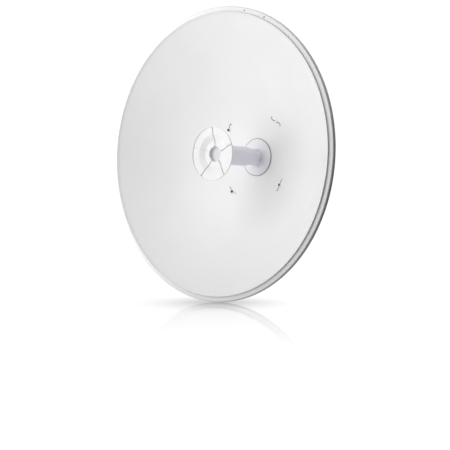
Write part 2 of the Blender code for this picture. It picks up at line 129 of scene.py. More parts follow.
def nodeGroup(name, kind, inputs, outputs):
    # an input's start value says what kind of socket it is, or the kind is given as a word
    tree = bpy.data.node_groups.new(name, kind)
    kinds = {float: "Float", int: "Int", tuple: "Color"}
    for label, start in inputs.items():
        word = start if isinstance(start, str) else kinds[type(start)]
        socket = tree.interface.new_socket(label, in_out="INPUT", socket_type="NodeSocket" + word)
        if word != start:
            socket.default_value = start
    for label, word in outputs.items():
        tree.interface.new_socket(label, in_out="OUTPUT", socket_type="NodeSocket" + word)
    return tree, Made(tree.nodes.new("NodeGroupInput"))


def closeGroup(tree, **outputs):
    end = tree.nodes.new("NodeGroupOutput")
    for label, value in outputs.items():
        plug(end.inputs[label], value)
    return tree


def closeTree(tree, geometry, coat):
    # what the tree has made becomes real faces with their finish
    real = addNode(tree, "GeometryNodeRealizeInstances", {"Geometry": geometry})["Geometry"]
    coated = addNode(tree, "GeometryNodeSetMaterial", {"Geometry": real, "Material": coat})["Geometry"]
    return closeGroup(tree, Geometry=coated)


# Mesh tools

def atDepth(depth):
    # the y of a depth behind the plane of the bowl's edge
    return depth - rimToMount


def placed(name, data):
    item = bpy.data.objects.new(name, data)
    scene.collection.objects.link(item)
    return item


def baked(item):
    graph = bpy.context.evaluated_depsgraph_get()
    return bpy.data.meshes.new_from_object(item.evaluated_get(graph))


def meshWith(name, points, edges=(), faces=()):
    mesh = bpy.data.meshes.new(name)
    mesh.from_pydata(points, edges, faces)
    return mesh


def written(work, mesh):
    work.to_mesh(mesh)
    work.free()
    return mesh


def grown(name, source, tree, coat, values):
    # runs a geometry tree on a mesh and keeps what comes out as a plain mesh
    holder = placed(name + "Source", source)
    modifier = holder.modifiers.new(name, "NODES")
    modifier.node_group = tree
    values = {**values, "Finish": finish[coat]}
    for item in tree.interface.items_tree:
        if item.item_type == "SOCKET" and item.in_out == "INPUT" and item.name in values:
            modifier[item.identifier] = values[item.name]
    mesh = baked(holder)
    holder.modifiers.clear()
    bpy.data.objects.remove(holder)
    return mesh


def meshFrom(work, name):
    return written(work, bpy.data.meshes.new(name))


def opened(*meshes):
    work = bmesh.new()
    for mesh in meshes:
        work.from_mesh(mesh)
    return work


def joined(name, meshes):
    return meshFrom(opened(*meshes), name)


def outward(mesh, merge=0.000001):
    work = opened(mesh)
    bmesh.ops.remove_doubles(work, verts=work.verts, dist=merge)
    bmesh.ops.recalc_face_normals(work, faces=work.faces)
    return written(work, mesh)


def cleaned(mesh, merge=0.000002, fewest=5):
    # joins points that nearly meet and drops the loose slivers that a boolean leaves
    work = opened(mesh)
    bmesh.ops.remove_doubles(work, verts=work.verts, dist=merge)
    bmesh.ops.dissolve_degenerate(work, dist=merge, edges=work.edges)
    bmesh.ops.triangulate(work, faces=[face for face in work.faces if len(face.verts) > 4])
    sameCorners = {}
    for face in work.faces:
        sameCorners.setdefault(frozenset(face.verts), []).append(face)
    doubled = [face for faces in sameCorners.values() if len(faces) > 1 for face in faces]
    bmesh.ops.delete(work, geom=doubled, context="FACES")
    waiting, loose = set(work.faces), []
    while waiting:
        island = [waiting.pop()]
        for face in island:
            for other in {near for edge in face.edges for near in edge.link_faces} & waiting:
                waiting.remove(other)
                island.append(other)
        if len(island) < fewest:
            loose += island
    bmesh.ops.delete(work, geom=loose, context="FACES")
    return written(work, mesh)


def carved(name, mesh, cutters, operation="DIFFERENCE"):
    # boolean with plain meshes, back to a plain mesh
    body = placed(name + "Body", mesh)
    tools = [placed(f"{name}Cutter{number}", cutter) for number, cutter in enumerate(cutters)]
    for tool in tools:
        change = body.modifiers.new("Cut", "BOOLEAN")
        change.operation = operation
        change.solver = "EXACT"
        change.object = tool
    result = baked(body)
    for item in [body] + tools:
        bpy.data.objects.remove(item)
    return cleaned(result)


def settle(name, mesh, coat, nodes=(), sharp=33):
    # the mesh becomes a piece that rides on the body and stands for its CAD nodes
    mesh.name = name
    mesh.materials.clear()
    mesh.materials.append(finish[coat])
    mesh.shade_smooth()
    if sharp:
        mesh.set_sharp_from_angle(angle=math.radians(sharp))
    piece = placed(name, mesh)
    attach(piece, "root")
    if nodes:
        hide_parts(*nodes)


def rounded(points, closed=False, steps=3):
    # a third number on a (radius, depth) point rounds that corner
    result = []
    count = len(points)
    for index, point in enumerate(points):
        here = Vector(point[:2])
        size = point[2] if len(point) > 2 else 0.0
        if size <= 0 or (not closed and index in (0, count - 1)):
            result.append(tuple(here))
            continue
        before = Vector(points[index - 1][:2]) - here
        after = Vector(points[(index + 1) % count][:2]) - here
        cut = min(size, 0.49 * before.length, 0.49 * after.length)
        first = here + before.normalized() * cut
        last = here + after.normalized() * cut
        for t in (step / steps for step in range(steps + 1)):
            result.append(tuple(first * (1 - t) ** 2 + here * 2 * t * (1 - t) + last * t ** 2))
    return result


def roundPoint(radius, angle, y=0.0):
    return radius * math.cos(angle), y, radius * math.sin(angle)


def turned(name, profile, segments=96, closed=False, steps=3):
    # turns (radius, depth) points about the dish's own axis, world Y
    if any(len(point) > 2 for point in profile):
        profile = rounded(profile, closed, steps)
    points, rings, faces = [], [], []
    for radius, depth in profile:
        start = len(points)
        if radius < 1e-6:
            points.append((0.0, atDepth(depth), 0.0))
            rings.append([start] * segments)
        else:
            points += [roundPoint(radius, math.tau * step / segments, atDepth(depth)) for step in range(segments)]
            rings.append(list(range(start, start + segments)))
    for first, second in zip(rings, rings[1:] + (rings[:1] if closed else [])):
        for index in range(segments):
            after = (index + 1) % segments
            corners = list(dict.fromkeys((first[index], first[after], second[after], second[index])))
            if len(corners) > 2:
                faces.append(corners)
    return outward(meshWith(name, points, faces=faces))


def moved(mesh, x=0.0, y=0.0, z=0.0):
    mesh.transform(Matrix.Translation((x, y, z)))
    return mesh


def rod(name, radius, low, high, segments, across=0.0, up=0.0):
    return moved(turned(name, [(0, low), (radius, low), (radius, high), (0, high)], segments), across, 0.0, up)


def prism(name, outline, low, high, rounding=0.0):
    # an (x, z) outline pushed from one depth to another, with its edges rounded over
    work = bmesh.new()
    face = work.faces.new([work.verts.new((x, atDepth(low), z)) for x, z in outline])
    made = bmesh.ops.extrude_face_region(work, geom=[face])
    far = [item for item in made["geom"] if isinstance(item, bmesh.types.BMVert)]
    bmesh.ops.translate(work, verts=far, vec=(0.0, high - low, 0.0))
    bmesh.ops.recalc_face_normals(work, faces=work.faces)
    if rounding > 0:
        bmesh.ops.bevel(work, geom=list(work.edges), offset=rounding, segments=2, profile=0.6,
                        affect="EDGES", clamp_overlap=True)
    return meshFrom(work, name)


def oblong(left, right, half):
    return [(left, -half), (right, -half), (right, half), (left, half)]


def hexagon(acrossFlats):
    corners = [roundPoint(acrossFlats / math.sqrt(3.0), math.radians(60 * step)) for step in range(6)]
    return [(x, z) for x, y, z in corners]


softening = dict(hardFrom=40.0, smoothTo=35.0, flat=1.0, merge=0.000005)   # degrees, and metres for merge


def softened(node, width):
    # a merged copy of a CAD node with its hard edges rounded over
    work = opened(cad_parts[node].data)
    bmesh.ops.remove_doubles(work, verts=work.verts, dist=softening["merge"])
    bmesh.ops.dissolve_limit(work, angle_limit=math.radians(softening["flat"]), verts=work.verts, edges=work.edges)
    hard = math.radians(softening["hardFrom"])
    edges = [edge for edge in work.edges if len(edge.link_faces) == 2 and edge.calc_face_angle(0.0) > hard]
    made = bmesh.ops.bevel(work, geom=edges, offset=width, segments=2, profile=0.6, affect="EDGES",
                           clamp_overlap=True)
    bmesh.ops.recalc_face_normals(work, faces=work.faces)
    strips = set(made["faces"])
    smoothTo = math.radians(softening["smoothTo"])
    for edge in work.edges:   # the flat faces stay flat in the light, and only the rounding is smooth
        sides = {face in strips for face in edge.link_faces}
        edge.smooth = len(sides) == 1 and edge.calc_face_angle(0.0) < smoothTo
    return meshFrom(work, node)


# Finishes

def makeGrainGroup():
    # fine texture of a coat or a moulding: colour, roughness and height that vary over the surface
    tree, ask = nodeGroup("surfaceGrain", "ShaderNodeTree", {
        "Light Tone": (0.8, 0.8, 0.8, 1.0), "Deep Tone": (0.75, 0.75, 0.75, 1.0), "Grain Size": 0.001,
        "Patch Size": 0.06, "Smoothest": 0.3, "Roughest": 0.4, "Speck Amount": 0.0,
    }, {"Color": "Color", "Roughness": "Float", "Height": "Float"})
    place = addNode(tree, "ShaderNodeTexCoord")["Object"]
    patchScale = 1.0 / ask["Patch Size"]
    fine = noise(tree, place, 1.0 / ask["Grain Size"], 3.0, 0.55)
    patch = noise(tree, place, patchScale, 4.0, 0.6, 0.4)
    speck = addNode(tree, "ShaderNodeTexVoronoi", {"Vector": place, "Scale": patchScale * 3.0})["Distance"]
    dots = ramped(speck, 0.03, 0.07, 1.0, 0.0) * ask["Speck Amount"]
    blend = ramped(patch * 0.75 + fine * 0.25, 0.35, 0.65, 0.0, 1.0)
    tone = mixedColor(blend, ask["Light Tone"], ask["Deep Tone"])
    tone = mixedColor(dots, tone, (0.42, 0.41, 0.40, 1.0))
    rough = addNode(tree, "ShaderNodeMapRange", {"Value": blend, "To Min": ask["Smoothest"],
                                                 "To Max": ask["Roughest"]})["Result"]
    return closeGroup(tree, Color=tone, Roughness=rough, Height=fine)


def makeWearGroup():
    # corners rubbed a little brighter or darker, found by comparing the true and the rounded normal
    tree, ask = nodeGroup("edgeWear", "ShaderNodeTree", {
        "Color": (0.8, 0.8, 0.8, 1.0), "Worn Tone": (0.6, 0.6, 0.6, 1.0), "Amount": 0.5, "Width": 0.0006,
    }, {"Color": "Color"})
    place = addNode(tree, "ShaderNodeTexCoord")["Object"]
    soft = addNode(tree, "ShaderNodeBevel", {"Radius": ask["Width"]}, samples=4)["Normal"]
    hard = addNode(tree, "ShaderNodeNewGeometry")["Normal"]
    close = addNode(tree, "ShaderNodeVectorMath", {0: soft, 1: hard}, operation="DOT_PRODUCT")["Value"]
    patchy = ramped(noise(tree, place, 260.0, 5.0, 0.7), 0.42, 0.62, 0.1, 1.0)
    edge = ramped(close, 0.86, 0.985, 1.0, 0.0) * patchy * ask["Amount"]
    return closeGroup(tree, Color=mixedColor(edge, ask["Color"], ask["Worn Tone"]))


grainGroup = makeGrainGroup()
wearGroup = makeWearGroup()

# tones are linear colours, sizes are metres, and slot is the name in the record; seam is a second tone where the
# seam attribute is set: painted shade in the bowl's seams and rim holes, in the cap's grooves and inside the tube's
# mouth, and a lavender tint on the flange's flare
finishes = {
    "bowlPaint": dict(slot="bowl_paint", light=(0.908, 0.908, 0.908), deep=(0.892, 0.892, 0.894), grain=0.0011,
                      patch=0.09, rough=(0.34, 0.44), bump=0.10, lift=0.00012, coat=0.12, seam=(0.13, 0.13, 0.14)),
    "boltPaint": dict(slot="bowl_paint", light=(0.90, 0.90, 0.90), deep=(0.88, 0.88, 0.88), grain=0.0008,
                      patch=0.02, rough=(0.36, 0.48), bump=0.10, lift=0.0001, coat=0.1),
    "capPlastic": dict(slot="feed_plastic", light=(0.915, 0.915, 0.92), deep=(0.90, 0.90, 0.905), grain=0.0006,
                       patch=0.05, rough=(0.34, 0.42), bump=0.06, lift=0.00006, seam=(0.52, 0.52, 0.56)),
    "tubePlastic": dict(slot="feed_plastic", light=(0.89, 0.875, 0.955), deep=(0.865, 0.85, 0.93), grain=0.0007,
                        patch=0.04, rough=(0.36, 0.46), bump=0.07, lift=0.00007, seam=(0.75, 0.75, 0.772)),
    "flangePlastic": dict(slot="feed_plastic", light=(0.87, 0.87, 0.89), deep=(0.85, 0.85, 0.87), grain=0.0007,
                          patch=0.04, rough=(0.34, 0.44), bump=0.07, lift=0.00007, seam=(0.87, 0.855, 0.925)),
    "bracketPaint": dict(slot="bracket_paint", light=(0.62, 0.63, 0.635), deep=(0.575, 0.585, 0.59), grain=0.0014,
                         patch=0.045, rough=(0.42, 0.58), bump=0.22, lift=0.00016, specks=0.25,
                         worn=(0.42, 0.42, 0.42), wear=0.55),
    "hubPlastic": dict(slot="hub_plastic", light=(0.70, 0.705, 0.71), deep=(0.66, 0.665, 0.67), grain=0.0009,
                       patch=0.05, rough=(0.46, 0.6), bump=0.16, lift=0.0001, worn=(0.80, 0.80, 0.81), wear=0.35),
    "capRubber": dict(slot="rubber", light=(0.032, 0.032, 0.034), deep=(0.052, 0.051, 0.05), grain=0.0008,
                      patch=0.012, rough=(0.62, 0.8), bump=0.2, lift=0.00012, specks=0.15),
    "sealShadeRubber": dict(slot="rubber", light=(0.34, 0.34, 0.35), deep=(0.31, 0.31, 0.32), grain=0.0006,
                       patch=0.01, rough=(0.55, 0.7), bump=0.12, lift=0.00008),
    "socketShade": dict(slot="steel", light=(0.035, 0.035, 0.038), deep=(0.06, 0.06, 0.062), grain=0.0004,
                      patch=0.004, rough=(0.35, 0.55), bump=0.1, lift=0.00005),
    "markInk": dict(slot="rubber", light=(0.06, 0.06, 0.065), deep=(0.09, 0.09, 0.09), grain=0.0005,
                    patch=0.01, rough=(0.5, 0.65), bump=0.05, lift=0.00004),
    "zincSteel": dict(slot="steel", light=(0.70, 0.71, 0.72), deep=(0.55, 0.56, 0.58), spangle=0.0016,
                      patch=0.008, rough=(0.24, 0.42), bump=0.08, lift=0.00005),
}


def paintedWith(name, tree, tone, rough, height):
    # ends a material's nodes in its shader
    values = finishes[name]
    shader = tree.nodes["Principled BSDF"].inputs
    plug(shader["Base Color"], tone)
    plug(shader["Roughness"], rough)
    plug(shader["Normal"], addNode(tree, "ShaderNodeBump", {
        "Height": height, "Strength": values["bump"], "Distance": values["lift"]})["Normal"])
    shader["Coat Weight"].default_value = values.get("coat", 0.0)
    shader["Coat Roughness"].default_value = 0.12
    shader["Metallic"].default_value = 1.0 if "spangle" in values else 0.0


def coated(name, tree):
    # paint or plastic: grain, patches and, where asked, worn corners and a second tone where the seam attribute is
    # set, which is painted shade in the seams, grooves, rim holes and the feed's mouth, and a lavender tint on the
    # flange's flare
    values = finishes[name]
    grain = addNode(tree, "ShaderNodeGroup", {
        "Light Tone": (*values["light"], 1.0), "Deep Tone": (*values["deep"], 1.0), "Grain Size": values["grain"],
        "Patch Size": values["patch"], "Smoothest": values["rough"][0], "Roughest": values["rough"][1],
        "Speck Amount": values.get("specks", 0.0)}, node_tree=grainGroup)
    tone = grain["Color"]
    if "wear" in values:
        tone = addNode(tree, "ShaderNodeGroup", {"Color": tone, "Worn Tone": (*values["worn"], 1.0),
                                                 "Amount": values["wear"]}, node_tree=wearGroup)["Color"]
    if "seam" in values:
        # painted shade: the seam tone darkens sunk seams, grooves and holes, and is a plain tint on the flange
        seam = addNode(tree, "ShaderNodeAttribute", attribute_name="seam")["Fac"]
        tone = mixedColor(seam, tone, (*values["seam"], 1.0))
    paintedWith(name, tree, tone, grain["Roughness"], grain["Height"])


def plated(name, tree):
    # zinc plate: small crystal patches over slow changes of tone
    values = finishes[name]
    place = addNode(tree, "ShaderNodeTexCoord")["Object"]
    crystal = addNode(tree, "ShaderNodeTexVoronoi", {"Vector": place, "Scale": 1 / values["spangle"]})["Color"]
    slow = noise(tree, place, 1 / values["patch"], 5.0)
    mixed = addNode(tree, "ShaderNodeSeparateColor", {"Color": crystal})["Red"] * 0.4 + slow * 0.6
    tone = mixedColor(mixed, (*values["deep"], 1.0), (*values["light"], 1.0))
    paintedWith(name, tree, tone, ramped(slow, 0.3, 0.7, *values["rough"]), mixed)


finish = {}
for coatName in finishes:
    finish[coatName] = bpy.data.materials.new(coatName)
    finish[coatName].use_nodes = True
    makeCoat = plated if "spangle" in finishes[coatName] else coated
    makeCoat(coatName, finish[coatName].node_tree)
print("finishes made:", len(finish))


# Trees that repeat or press

def named(tree, label):
    return addNode(tree, "GeometryNodeInputNamedAttribute", {"Name": label}, data_type="FLOAT")["Attribute"]


def chance(tree, low, high, seed):
    return addNode(tree, "FunctionNodeRandomValue", {2: low, 3: high, "Seed": seed}, data_type="FLOAT")[1]


def numberOf(tree):
    return addNode(tree, "GeometryNodeInputIndex")["Index"]


def ringSpots(tree, count, circle, firstAngle, across=0.0):
    # points on a circle about the dish's axis, and the angle of each
    ring = addNode(tree, "GeometryNodeMeshCircle", {"Vertices": count, "Radius": circle})["Mesh"]
    spots = addNode(tree, "GeometryNodeTransform", {
        "Geometry": ring, "Translation": vector(tree, X=across),
        "Rotation": turnBy(tree, X=quarter, Y=firstAngle * -1.0)})["Geometry"]
    return spots, firstAngle + numberOf(tree) * math.tau / count


def copiesOn(tree, points, instance, rotation, **more):
    inputs = {"Points": points, "Instance": instance, "Rotation": rotation, **more}
    return addNode(tree, "GeometryNodeInstanceOnPoints", inputs)["Instances"]


def distanceTo(tree, geometry, place, element):
    inputs = {"Geometry": geometry, "Sample Position": place}
    return addNode(tree, "GeometryNodeProximity", inputs, target_element=element)["Distance"]


def makePressTree():
    # lifts a flat net into the bowl, presses flat bosses round the bolts on its back and sinks seams into its face;
    # how far each point is sunk is stored as the seam attribute, which the finishes use as painted shade in the
    # seams
    tree, ask = nodeGroup("pressedNet", "GeometryNodeTree", {
        "Geometry": "Geometry", "Focus": 0.17, "Bowl Depth": 0.14, "Edge Y": 0.0, "Seat Count": 4,
        "Seat Circle": 0.1, "First Angle": 0.0, "Seat Radius": 0.006, "Seat Blend": 0.004, "Seat Rise": 0.0,
        "Seam": "Object", "Seam Width": 0.001, "Seam Softness": 0.0005, "Seam Depth": 0.001, "Finish": "Material",
    }, {"Geometry": "Geometry"})
    place = addNode(tree, "GeometryNodeInputPosition")["Position"]
    parts = addNode(tree, "ShaderNodeSeparateXYZ", {"Vector": place})
    x, y, z = parts["X"], parts["Y"], parts["Z"]
    flat = vector(tree, X=x, Z=z)
    fourFocus = ask["Focus"] * 4.0
    floor = ask["Edge Y"] + ask["Bowl Depth"]
    rule = floor - (x * x + z * z) / fourFocus
    seatY = floor - ask["Seat Circle"] * ask["Seat Circle"] / fourFocus + ask["Seat Rise"]

    seats, angle = ringSpots(tree, ask["Seat Count"], ask["Seat Circle"], ask["First Angle"])
    near = distanceTo(tree, seats, flat, "POINTS")
    flatness = ramped(near, ask["Seat Radius"], ask["Seat Radius"] + ask["Seat Blend"], 1.0, 0.0)
    flatness = flatness * (1.0 - named(tree, "onFace"))
    pressed = rule + flatness * (seatY - rule)

    seam = addNode(tree, "GeometryNodeObjectInfo", {"Object": ask["Seam"]})["Geometry"]
    copies = copiesOn(tree, seats, seam, turnBy(tree, Y=angle * -1.0))
    lines = addNode(tree, "GeometryNodeRealizeInstances", {"Geometry": copies})["Geometry"]
    nearSeam = distanceTo(tree, lines, flat, "EDGES")
    sunk = ramped(nearSeam, ask["Seam Width"], ask["Seam Width"] + ask["Seam Softness"], 1.0, 0.0)
    sunk = sunk * named(tree, "seamOpen")

    height = y + named(tree, "follow") * pressed + sunk * ask["Seam Depth"]
    # the stored seam attribute is painted shade: the finishes darken the sunk seams with it
    marked = addNode(tree, "GeometryNodeStoreNamedAttribute", {
        "Geometry": ask["Geometry"], "Name": "seam", "Value": sunk}, data_type="FLOAT", domain="POINT")["Geometry"]
    shaped = addNode(tree, "GeometryNodeSetPosition", {
        "Geometry": marked, "Position": vector(tree, X=x, Y=height, Z=z)})["Geometry"]
    return closeTree(tree, shaped, ask["Finish"])


def makeRingTree():
    # copies of the given mesh round the dish's axis, or round a line beside it
    tree, ask = nodeGroup("fixingRing", "GeometryNodeTree", {
        "Geometry": "Geometry", "Count": 4, "Circle": 0.1, "First Angle": 0.0, "Follow": 0.0, "Random Turn": 0.0,
        "Seed": 0, "Across": 0.0, "Left Out": 0, "Finish": "Material"}, {"Geometry": "Geometry"})
    spots, angle = ringSpots(tree, ask["Count"], ask["Circle"], ask["First Angle"], ask["Across"])
    kept = maths("LESS_THAN", numberOf(tree), ask["Count"] - ask["Left Out"])
    turn = chance(tree, 0.0, 1.0, ask["Seed"]) * ask["Random Turn"] - angle * ask["Follow"]
    copies = copiesOn(tree, spots, ask["Geometry"], turnBy(tree, Y=turn), Selection=kept)
    return closeTree(tree, copies, ask["Finish"])


def makePairTree():
    # two copies above each other on the right cheek, and the same two turned round for the left one
    tree, ask = nodeGroup("cheekFixings", "GeometryNodeTree", {
        "Geometry": "Geometry", "Lower Height": 0.0, "Spacing": 0.05, "Depth Y": 0.0, "Random Turn": 0.0, "Seed": 0,
        "Finish": "Material"}, {"Geometry": "Geometry"})
    spots = addNode(tree, "GeometryNodeMeshLine", {
        "Count": 2, "Start Location": vector(tree, Y=ask["Depth Y"], Z=ask["Lower Height"]),
        "Offset": vector(tree, Z=ask["Spacing"])})["Mesh"]
    turn = chance(tree, 0.0, 1.0, ask["Seed"]) * ask["Random Turn"]
    copies = copiesOn(tree, spots, ask["Geometry"], turnBy(tree, X=turn))
    other = addNode(tree, "GeometryNodeTransform", {
        "Geometry": copies, "Translation": vector(tree, Y=ask["Depth Y"] * 2.0), "Rotation": (0.0, 0.0, math.pi)})
    both = addNode(tree, "GeometryNodeJoinGeometry", {"Geometry": copies})
    plug(both.node.inputs["Geometry"], other["Geometry"])
    return closeTree(tree, both["Geometry"], ask["Finish"])


def makeBeadTree():
    # a weld: overlapping flattened drops along the edges of the given mesh
    tree, ask = nodeGroup("weldBead", "GeometryNodeTree", {
        "Geometry": "Geometry", "Radius": 0.002, "Pitch": 0.002, "Seed": 0, "Finish": "Material",
    }, {"Geometry": "Geometry"})
    path = addNode(tree, "GeometryNodeMeshToCurve", {"Mesh": ask["Geometry"]})["Curve"]
    spots = addNode(tree, "GeometryNodeCurveToPoints", {"Curve": path, "Length": ask["Pitch"]}, mode="LENGTH")
    drop = addNode(tree, "GeometryNodeMeshUVSphere", {"Segments": 8, "Rings": 6, "Radius": ask["Radius"]})["Mesh"]
    size = chance(tree, 0.86, 1.1, ask["Seed"])
    scale = vector(tree, X=size, Y=size, Z=size * 0.8)
    return closeTree(tree, copiesOn(tree, spots["Points"], drop, spots["Rotation"], Scale=scale), ask["Finish"])


pressTree = makePressTree()
ringTree = makeRingTree()
pairTree = makePairTree()
beadTree = makeBeadTree()
print("geometry trees made")


# The bowl

# metres, with seamWindow, seamReach, rimHoleAngles and fine in degrees
bowl = dict(
    edgeRadius=0.315, endRadius=0.3122, depth=0.143, sheet=0.002, hubHole=0.036, backFrom=0.308,
    boltCount=4, boltCircle=0.1004, boltAngle=math.radians(49.25), boltHoleRadius=0.0033, boltHoleEnds=(0.10, 0.15),
    seatRadius=0.0086, seatBlend=0.0060, seatRise=0.0006,
    seamWidth=0.00055, seamSoftness=0.0006, seamDepth=0.0014, seamWindow=12.0,
    seamInward=(False, False, True, False), seamReach=(12.0, 8.8, 7.9, 8.3),
    seamClosed=((0.0, 0.0), (0.1, 1.0), (0.2, 0.65), (0.0, 0.0)),
    rimHoleRadius=0.0018, rimHoleCircle=0.3176, rimHoleAngles=(75.4, 64.5), rimHoleEnds=(-0.005, 0.0071),
    rimHoleDark=0.0060, rimHoleSpare=0.0001, fine=(10.5, 0.22, 2.5), sharp=30,
)
bowl["focus"] = bowl["edgeRadius"] ** 2 / (4 * bowl["depth"])

# radii across the sheet, each with the step that follows it
bowlSteps = dict(front=[(bowl["hubHole"], 0.008), (0.084, 0.0015), (0.093, 0.0004), (0.108, 0.0015), (0.118, 0.006)],
                 back=[(bowl["hubHole"], 0.010), (0.086, 0.0015), (0.116, 0.012)])

# one side of the lanced seam beside each bolt, as (outwards, sideways) from the bolt
seamPath = [(-0.0002, 0.0018), (-0.0022, 0.0060), (-0.0032, 0.0100), (-0.0033, 0.0138), (-0.0018, 0.0157),
            (0.0010, 0.0161)]

# the rolled rim, as (radius, depth, rounding)
rimSection = [(0.3125, 0.0018, 0.0002), (0.3130, 0.0048, 0.0005), (0.3140, 0.0058, 0.0006),
              (0.3226, 0.0058, 0.0012), (0.3242, 0.0078, 0.0014), (0.3245, 0.0132, 0.0003),
              (0.3232, 0.0132, 0.0003), (0.3227, 0.0078, 0.0004), (0.3120, 0.0076, 0.0010)]


def evenly(start, length, count):
    return [start + length * step / count for step in range(count)]


def stepped(stops, last):
    # radii from one stop to the next, each stop with its own step
    radii = []
    for (start, step), end in zip(stops, [stop[0] for stop in stops[1:]] + [last]):
        radii += evenly(start, end - start, max(1, round((end - start) / step)))
    return radii + [last]


def fineAngles(centres, spread):
    # angles round the circle, close together near the centres; spread is half width, fine and coarse step
    halfWidth, fineStep, coarseStep = (math.radians(value) for value in spread)
    angles = []
    centres = sorted(angle % math.tau for angle in centres)
    for centre, following in zip(centres, centres[1:] + [centres[0] + math.tau]):
        angles += evenly(centre - halfWidth, 2 * halfWidth, round(2 * halfWidth / fineStep))
        between = following - centre - 2 * halfWidth
        angles += evenly(centre + halfWidth, between, round(between / coarseStep))
    return np.array(angles)


def aside(angles, centre):
    return np.mod(angles - centre + math.pi, math.tau) - math.pi


def netOf(name, section, angles, seamOpen):
    # rings of points, closed both ways; a row is radius, y, follow and onFace, and seamOpen is given per point
    rows = np.array(section)
    rings, columns = len(rows), len(angles)
    points = np.zeros((rings, columns, 3))
    points[:, :, 0] = rows[:, :1] * np.cos(angles)
    points[:, :, 1] = rows[:, 1:2]
    points[:, :, 2] = rows[:, :1] * np.sin(angles)
    first = np.arange(rings * columns).reshape(rings, columns)
    beside = np.roll(first, -1, 1)
    quads = np.stack([first, beside, np.roll(beside, -1, 0), np.roll(first, -1, 0)], -1)
    mesh = meshWith(name, points.reshape(-1, 3).tolist(), faces=quads.reshape(-1, 4).tolist())
    follow, onFace = (np.repeat(rows[:, column], columns) for column in (2, 3))
    for label, values in (("follow", follow), ("onFace", onFace), ("seamOpen", seamOpen.ravel())):
        mesh.attributes.new(label, "FLOAT", "POINT").data.foreach_set("value", values.astype(np.float32))
    return mesh


def pressedInto(name, net, coat, paths, values):
    # the paths are lines that the tree measures from, sunk as seams
    points, edges = [], []
    for path in paths:
        edges += [(len(points) + i, len(points) + i + 1) for i in range(len(path) - 1)]
        points += [(u, 0.0, v) for u, v in path]
    seam = placed(name + "Line", meshWith(name + "Line", points, edges))
    mesh = grown(name, net, pressTree, coat, {**values, "Seam": seam})
    bpy.data.objects.remove(seam)
    return outward(mesh)


def rods(name, radius, ends, segments, circle, angles):
    # for cutting holes on a circle about the dish's axis
    spots = [roundPoint(circle, angle) for angle in angles]
    return [rod(name, radius, *ends, segments, x, z) for x, y, z in spots]


def makeBowl():
    section = [(radius, 0.0, 1.0, 1.0) for radius in stepped(bowlSteps["front"], bowl["endRadius"])]
    section += [(radius, atDepth(depth), 0.0, 0.0) for radius, depth in rounded(rimSection)]
    for radius in reversed(stepped(bowlSteps["back"], bowl["backFrom"])):
        slope = radius / (2 * bowl["focus"])
        section.append((radius, bowl["sheet"] * math.sqrt(1 + slope ** 2), 1.0, 0.0))
    centres = evenly(bowl["boltAngle"], math.tau, bowl["boltCount"])
    angles = fineAngles(centres, bowl["fine"])
    radii = np.array([[row[0]] for row in section])
    closed = 0.0
    for centre, reach, (before, after), inward in zip(centres, bowl["seamReach"], bowl["seamClosed"],
                                                      bowl["seamInward"]):
        # some seams are shorter, and one side of some is pressed nearly shut or bends inwards; the painted shade in
        # a seam goes with how far it is sunk
        off = np.degrees(aside(angles, centre))
        share = np.where(np.abs(off) < reach, np.where(off < 0.0, before, after), 1.0)
        unused = (off < 0.0) & ((radii < bowl["boltCircle"]) != inward)
        closed = closed + np.maximum(share, unused) * (np.abs(off) < bowl["seamWindow"])
    net = netOf("bowlNet", section, angles, np.array([[row[3]] for row in section]) * (1.0 - closed))
    paths = [seamPath, [(-u, -v) for u, v in seamPath], [(u, -v) for u, v in seamPath]]
    # painted shade: the seams sunk into the face take bowlPaint's dark seam tone
    mesh = pressedInto("reflectorBowl", net, "bowlPaint", paths, {
        "Focus": bowl["focus"], "Bowl Depth": bowl["depth"], "Edge Y": atDepth(0.0), "Seat Count": bowl["boltCount"],
        "Seat Circle": bowl["boltCircle"], "First Angle": bowl["boltAngle"], "Seat Radius": bowl["seatRadius"],
        "Seat Blend": bowl["seatBlend"], "Seat Rise": bowl["seatRise"], "Seam Width": bowl["seamWidth"],
        "Seam Softness": bowl["seamSoftness"], "Seam Depth": bowl["seamDepth"]})
    rimAngles = [math.radians(angle) for angle in bowl["rimHoleAngles"]]
    holes = rods("boltHole", bowl["boltHoleRadius"], bowl["boltHoleEnds"], 24, bowl["boltCircle"], centres)
    holes += rods("rimHole", bowl["rimHoleRadius"], bowl["rimHoleEnds"], 20, bowl["rimHoleCircle"], rimAngles)
    mesh = carved("reflectorBowl", mesh, [joined("bowlHoles", holes)])
    spots = [roundPoint(bowl["rimHoleCircle"], angle) for angle in rimAngles]
    # painted shade: the inside of the two small rim holes takes the same dark tone
    tones = mesh.attributes["seam"].data
    for vertex in mesh.vertices:   # the two small rim holes are dark inside
        x, y, z = vertex.co
        within = min(math.dist((x, 0.0, z), spot) for spot in spots) < bowl["rimHoleRadius"] + bowl["rimHoleSpare"]
        if within and y > atDepth(bowl["rimHoleDark"]):
            tones[vertex.index].value = 1.0
    settle("reflectorBowl", mesh, "bowlPaint", ["reflector"], bowl["sharp"])


makeBowl()
print("bowl pressed")


# The feed

cap = dict(
    radius=0.0594, front=-0.0103, lip=0.0008, shelf=0.0017, coneStart=0.0038, coneTop=0.0418, coneFoot=0.0284,
    ring=0.0100, edge=0.0032, shoulderIn=0.004, shoulderBack=0.002, backRadius=0.0340, thickness=0.0128,
    mouth=0.0168, mouthLip=0.0008, pace=0.0011, faceIn=0.0003, faceBack=0.0002,
    grooveCount=5, grooveAngle=math.radians(90.3), grooveHalf=0.0006, grooveSoftness=0.0005, grooveDepth=0.0024,
    groovePath=((0.014, 0.0), (0.041, 0.0), (0.046, 0.0006), (0.051, -0.0005)), grooveEnd=0.0006,
    notchIn=0.0026, notchHalf=0.0006, shallowAngle=math.radians(162.3), shallowShare=0.75, shallowSpread=0.02,
    fine=(5.0, 0.25, 2.4), sharp=30,
)


